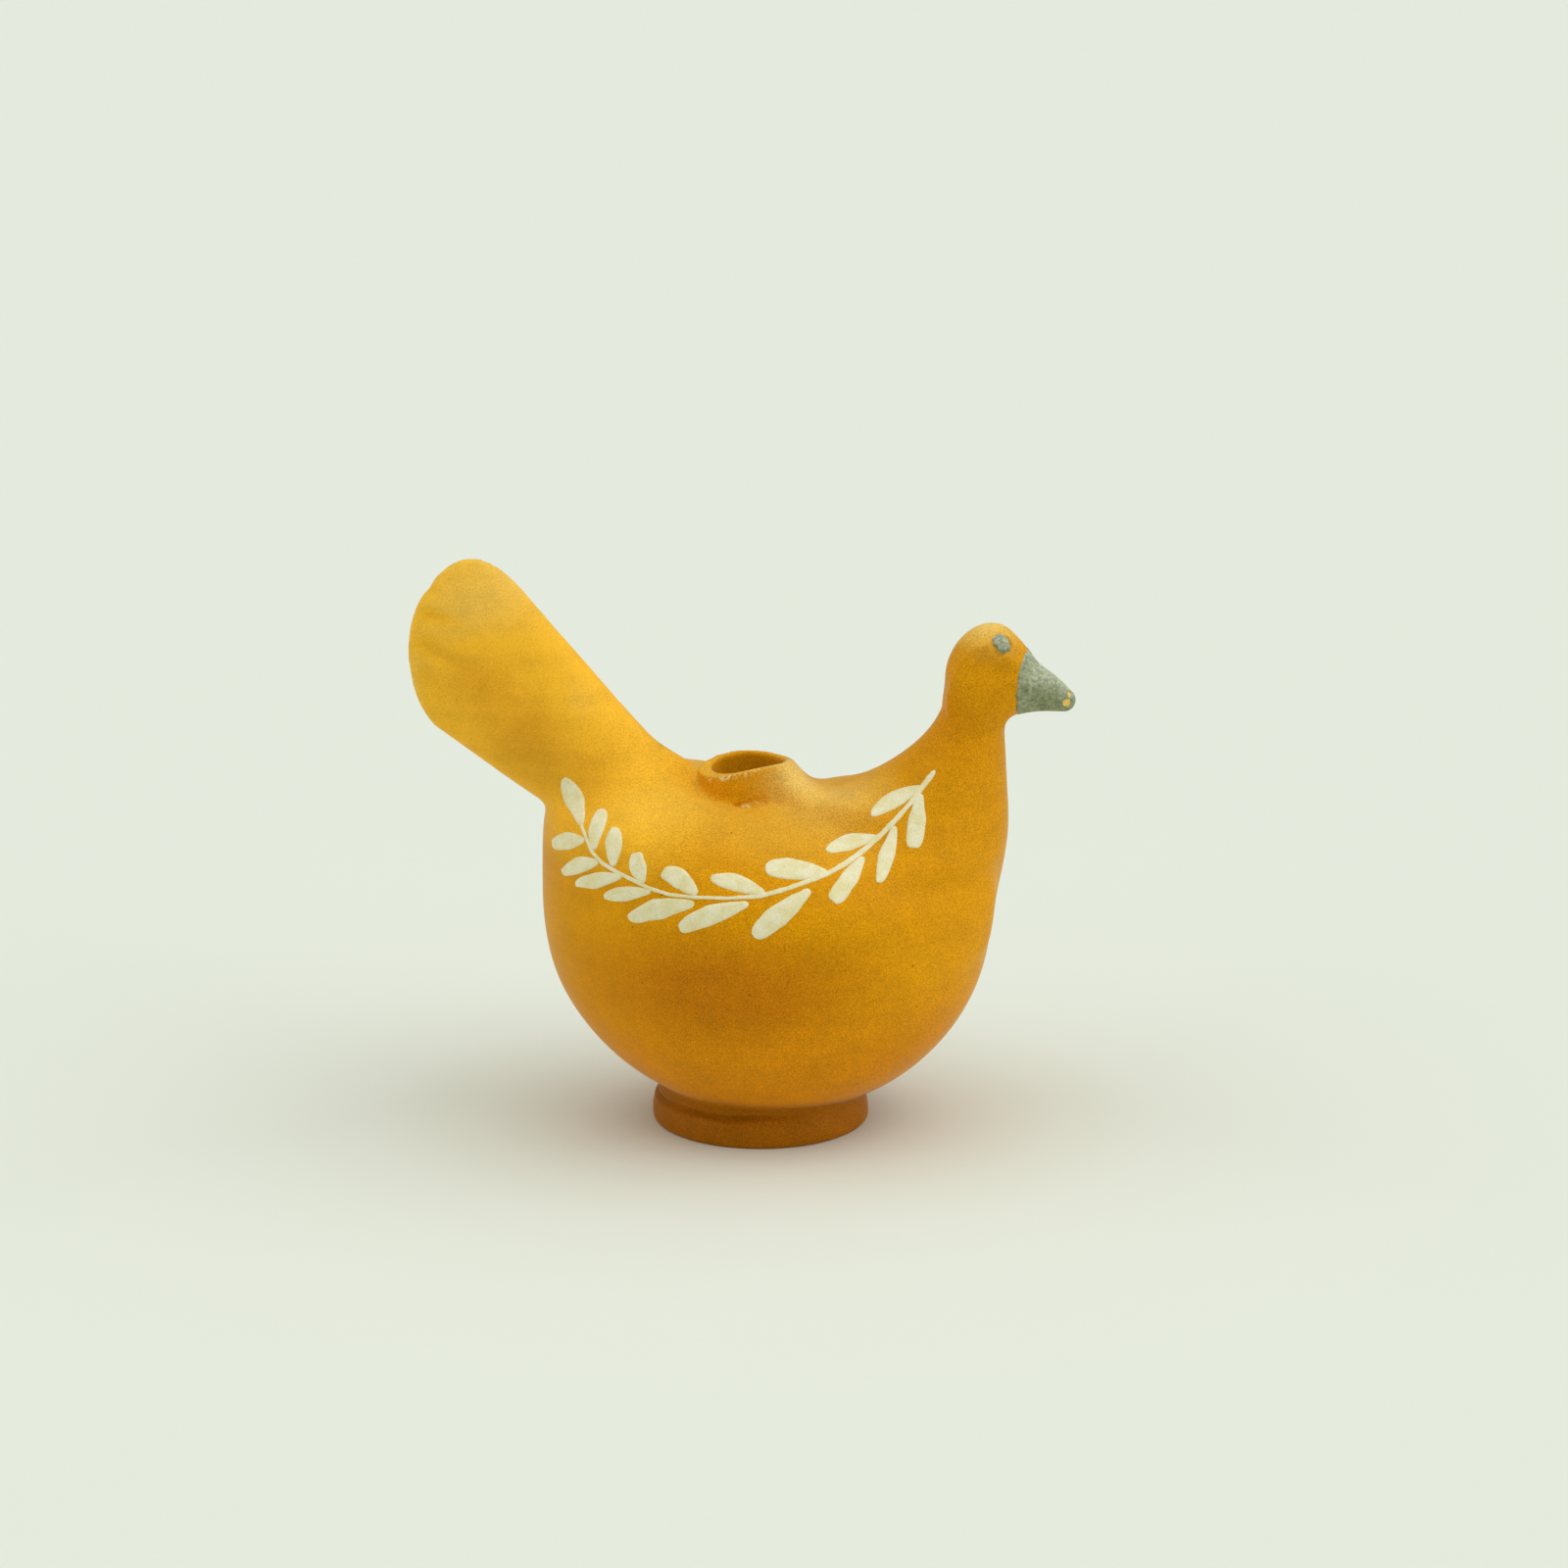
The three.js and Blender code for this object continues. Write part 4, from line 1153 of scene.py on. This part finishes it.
# Depth of each pattern and how much of it shows; the tail was rubbed smoother, so its sand is fainter
OCHRE_PATTERNS = [
    ("mottle", 0.1, 1.0),
    ("blotch", 0.1, 1.0),
    ("streak", 0.07, 1.0),
    ("sand", 0.58, share["gritty"]),
]
for name, depth, amount in OCHRE_PATTERNS:
    ends = {"i1": 0.3, "i2": 0.7, "i3": 1 - depth / 2, "i4": 1 + depth / 2}
    shade = add_node(tree, "MapRange", Value=noise[name], **ends).outputs[0]
    tone = add_node(tree, "Mix", COLOUR_TIMES, i0=amount, i6=tone, i7=shade).outputs[2]
tone = add_node(tree, "Mix", COLOUR_TIMES, i0=1.0, i6=tone, i7=share["pitted"]).outputs[2]
tone = add_node(tree, "Mix", COLOUR_MIX, i0=chipped, i6=tone, i7=linear(WORN_SLIP)).outputs[2]
bump = add_node(tree, "Bump", Height=noise["sand"], Strength=0.25, Distance=0.0002)
tree.links.new(tone, shader.inputs["Base Color"])
tree.links.new(share["dull"], shader.inputs["Roughness"])
tree.links.new(bump.outputs["Normal"], shader.inputs["Normal"])
for piece in (clay_body, head_piece, mouth_piece, foot_piece):
    piece.data.materials.append(ochre_slip)
print("Ochre slip nodes:", len(tree.nodes))


# %% [markdown]
# ## Grey-green slip
# Bill and eyes carry a grey-green slip, dipped and dabbed on. It looks dull and cloudy, with dark specks
# of grog on its sides, and the palest green on upward-facing surfaces is painted top light. A plain grey
# would look like metal, so three greens are mixed by clouds of noise and by the direction of the surface,
# and specks darken and lighten them.

# %% Grey slip
GREY_CLOUD_SIZE, SPECK_SIZE = 2.2, 0.7
DARK_GREY, MIDDLE_GREY, TOP_HIGHLIGHT_GREY = linear("#7C845E"), linear("#989E7C"), linear("#C0C5AA")
grey_slip, tree, shader = new_material("grey_green_slip", Roughness=0.5, Specular_IOR_Level=0.25)
place = add_node(tree, "TexCoord").outputs["Object"]
cloud_settings = {"Scale": per_mm(GREY_CLOUD_SIZE), "Detail": 4.0, "Roughness": 0.6}
speck_settings = {"Scale": per_mm(SPECK_SIZE), "Detail": 4.0, "Roughness": 0.7}
cloud = add_node(tree, "TexNoise", Vector=place, **cloud_settings).outputs[0]
specks = add_node(tree, "TexNoise", Vector=place, **speck_settings).outputs[0]
normal = add_node(tree, "NewGeometry").outputs["Normal"]
upward = add_node(tree, "SeparateXYZ", Vector=normal).outputs["Z"]
clouded = add_node(tree, "MapRange", Value=cloud, i1=0.35, i2=0.65).outputs[0]
# Painted top light: upward-facing surfaces get the palest green
painted_top_light = add_node(tree, "MapRange", Value=upward, i1=0.1, i2=0.8, i4=0.8).outputs[0]
shade = add_node(tree, "MapRange", Value=specks, i1=0.35, i2=0.65, i3=0.6, i4=1.35).outputs[0]
tone = add_node(tree, "Mix", COLOUR_MIX, i0=clouded, i6=DARK_GREY, i7=MIDDLE_GREY).outputs[2]
tone = add_node(tree, "Mix", COLOUR_MIX, i0=painted_top_light, i6=tone, i7=TOP_HIGHLIGHT_GREY).outputs[2]
tone = add_node(tree, "Mix", COLOUR_TIMES, i0=1.0, i6=tone, i7=shade).outputs[2]
bump = add_node(tree, "Bump", Height=specks, Strength=0.35, Distance=0.0003)
tree.links.new(tone, shader.inputs["Base Color"])
tree.links.new(bump.outputs["Normal"], shader.inputs["Normal"])
for name in ("bill_slip", "eye_right_slip", "eye_left_slip"):
    bpy.data.objects[name].data.materials.append(grey_slip)
print("Grey slip nodes:", len(tree.nodes))


# %% [markdown]
# ## White slip
# The sprig is thick white slip from a loaded brush: chalky and cream-coloured, thinner in some places so
# that the ochre warms it. A see-through material would be slower and hard to steer, so two creams mix in
# clouds a few millimetres wide.

# %% White slip
CREAM_CLOUD_SIZE, CHALK_SIZE = 2.5, 0.45
THIN_CREAM, THICK_CREAM = linear("#E8DDA6"), linear("#F0E9C6")
white_slip, tree, shader = new_material("white_slip", Roughness=0.6, Specular_IOR_Level=0.2)
place = add_node(tree, "TexCoord").outputs["Object"]
cloud_scale, chalk_scale = per_mm(CREAM_CLOUD_SIZE), per_mm(CHALK_SIZE)
cloud = add_node(tree, "TexNoise", Vector=place, Scale=cloud_scale, Detail=3.0).outputs[0]
chalk = add_node(tree, "TexNoise", Vector=place, Scale=chalk_scale, Detail=2.0).outputs[0]
clouded = add_node(tree, "MapRange", Value=cloud, i1=0.35, i2=0.65).outputs[0]
shade = add_node(tree, "MapRange", Value=chalk, i1=0.3, i2=0.7, i3=0.93, i4=1.07).outputs[0]
tone = add_node(tree, "Mix", COLOUR_MIX, i0=clouded, i6=THIN_CREAM, i7=THICK_CREAM).outputs[2]
tone = add_node(tree, "Mix", COLOUR_TIMES, i0=1.0, i6=tone, i7=shade).outputs[2]
tree.links.new(tone, shader.inputs["Base Color"])
for name in ("sprig_right_slip", "sprig_left_slip"):
    bpy.data.objects[name].data.materials.append(white_slip)
print("White slip nodes:", len(tree.nodes))


# %% [markdown]
# ## Floor and light
# The bird stands on a pale sheet under soft light from above and from both sides. Area lamps would do,
# but wide suns need no placing and light the whole bird evenly.

# %% Stage
FLOOR_CORNERS = [(-6, -6, 0), (6, -6, 0), (6, 10, 0), (-6, 10, 0)]
SHEET_COLOUR, ROOM_COLOUR, ROOM_STRENGTH = "#E7ECE2", "#FAFFF2", 0.29
# Each softbox: its name, its strength, how many degrees wide it is, and the way to it
SOFTBOXES = [
    ("overhead_softbox", 1.28, 95, (0.15, 0.05, 1)),
    ("right_softbox", 1.1, 70, (1, -0.2, 0.6)),
    ("left_softbox", 0.75, 75, (-1, -0.2, 0.6)),
]
floor_mesh = bpy.data.meshes.new("floor")
floor_mesh.from_pydata(FLOOR_CORNERS, [], [(0, 1, 2, 3)])
floor = add_to_scene("floor", floor_mesh)
floor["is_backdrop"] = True
sheet = {"Base_Color": linear(SHEET_COLOUR), "Roughness": 0.9, "Specular_IOR_Level": 0.1}
floor_mesh.materials.append(new_material("pale_paper", **sheet)[0])

world = bpy.data.worlds.new("studio")
bpy.context.scene.world = world
world.use_nodes = True
world.node_tree.nodes["Background"].inputs["Color"].default_value = linear(ROOM_COLOUR)
world.node_tree.nodes["Background"].inputs["Strength"].default_value = ROOM_STRENGTH
bpy.context.scene.view_settings.view_transform = "Standard"

for name, strength, softness, way in SOFTBOXES:
    sun = add_to_scene(name, bpy.data.lights.new(name, "SUN"))
    sun.data.energy = strength
    sun.data.angle = math.radians(softness)
    sun.rotation_euler = Vector(way).to_track_quat("Z", "Y").to_euler()
print("Softboxes:", len(SOFTBOXES))


# %% [markdown]
# ## Sizes and the end
# A vase that looks right can still have the wrong size, so the box of what is seen is measured at the end.

# %% Sizes for the size rule, and the end
low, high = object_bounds()
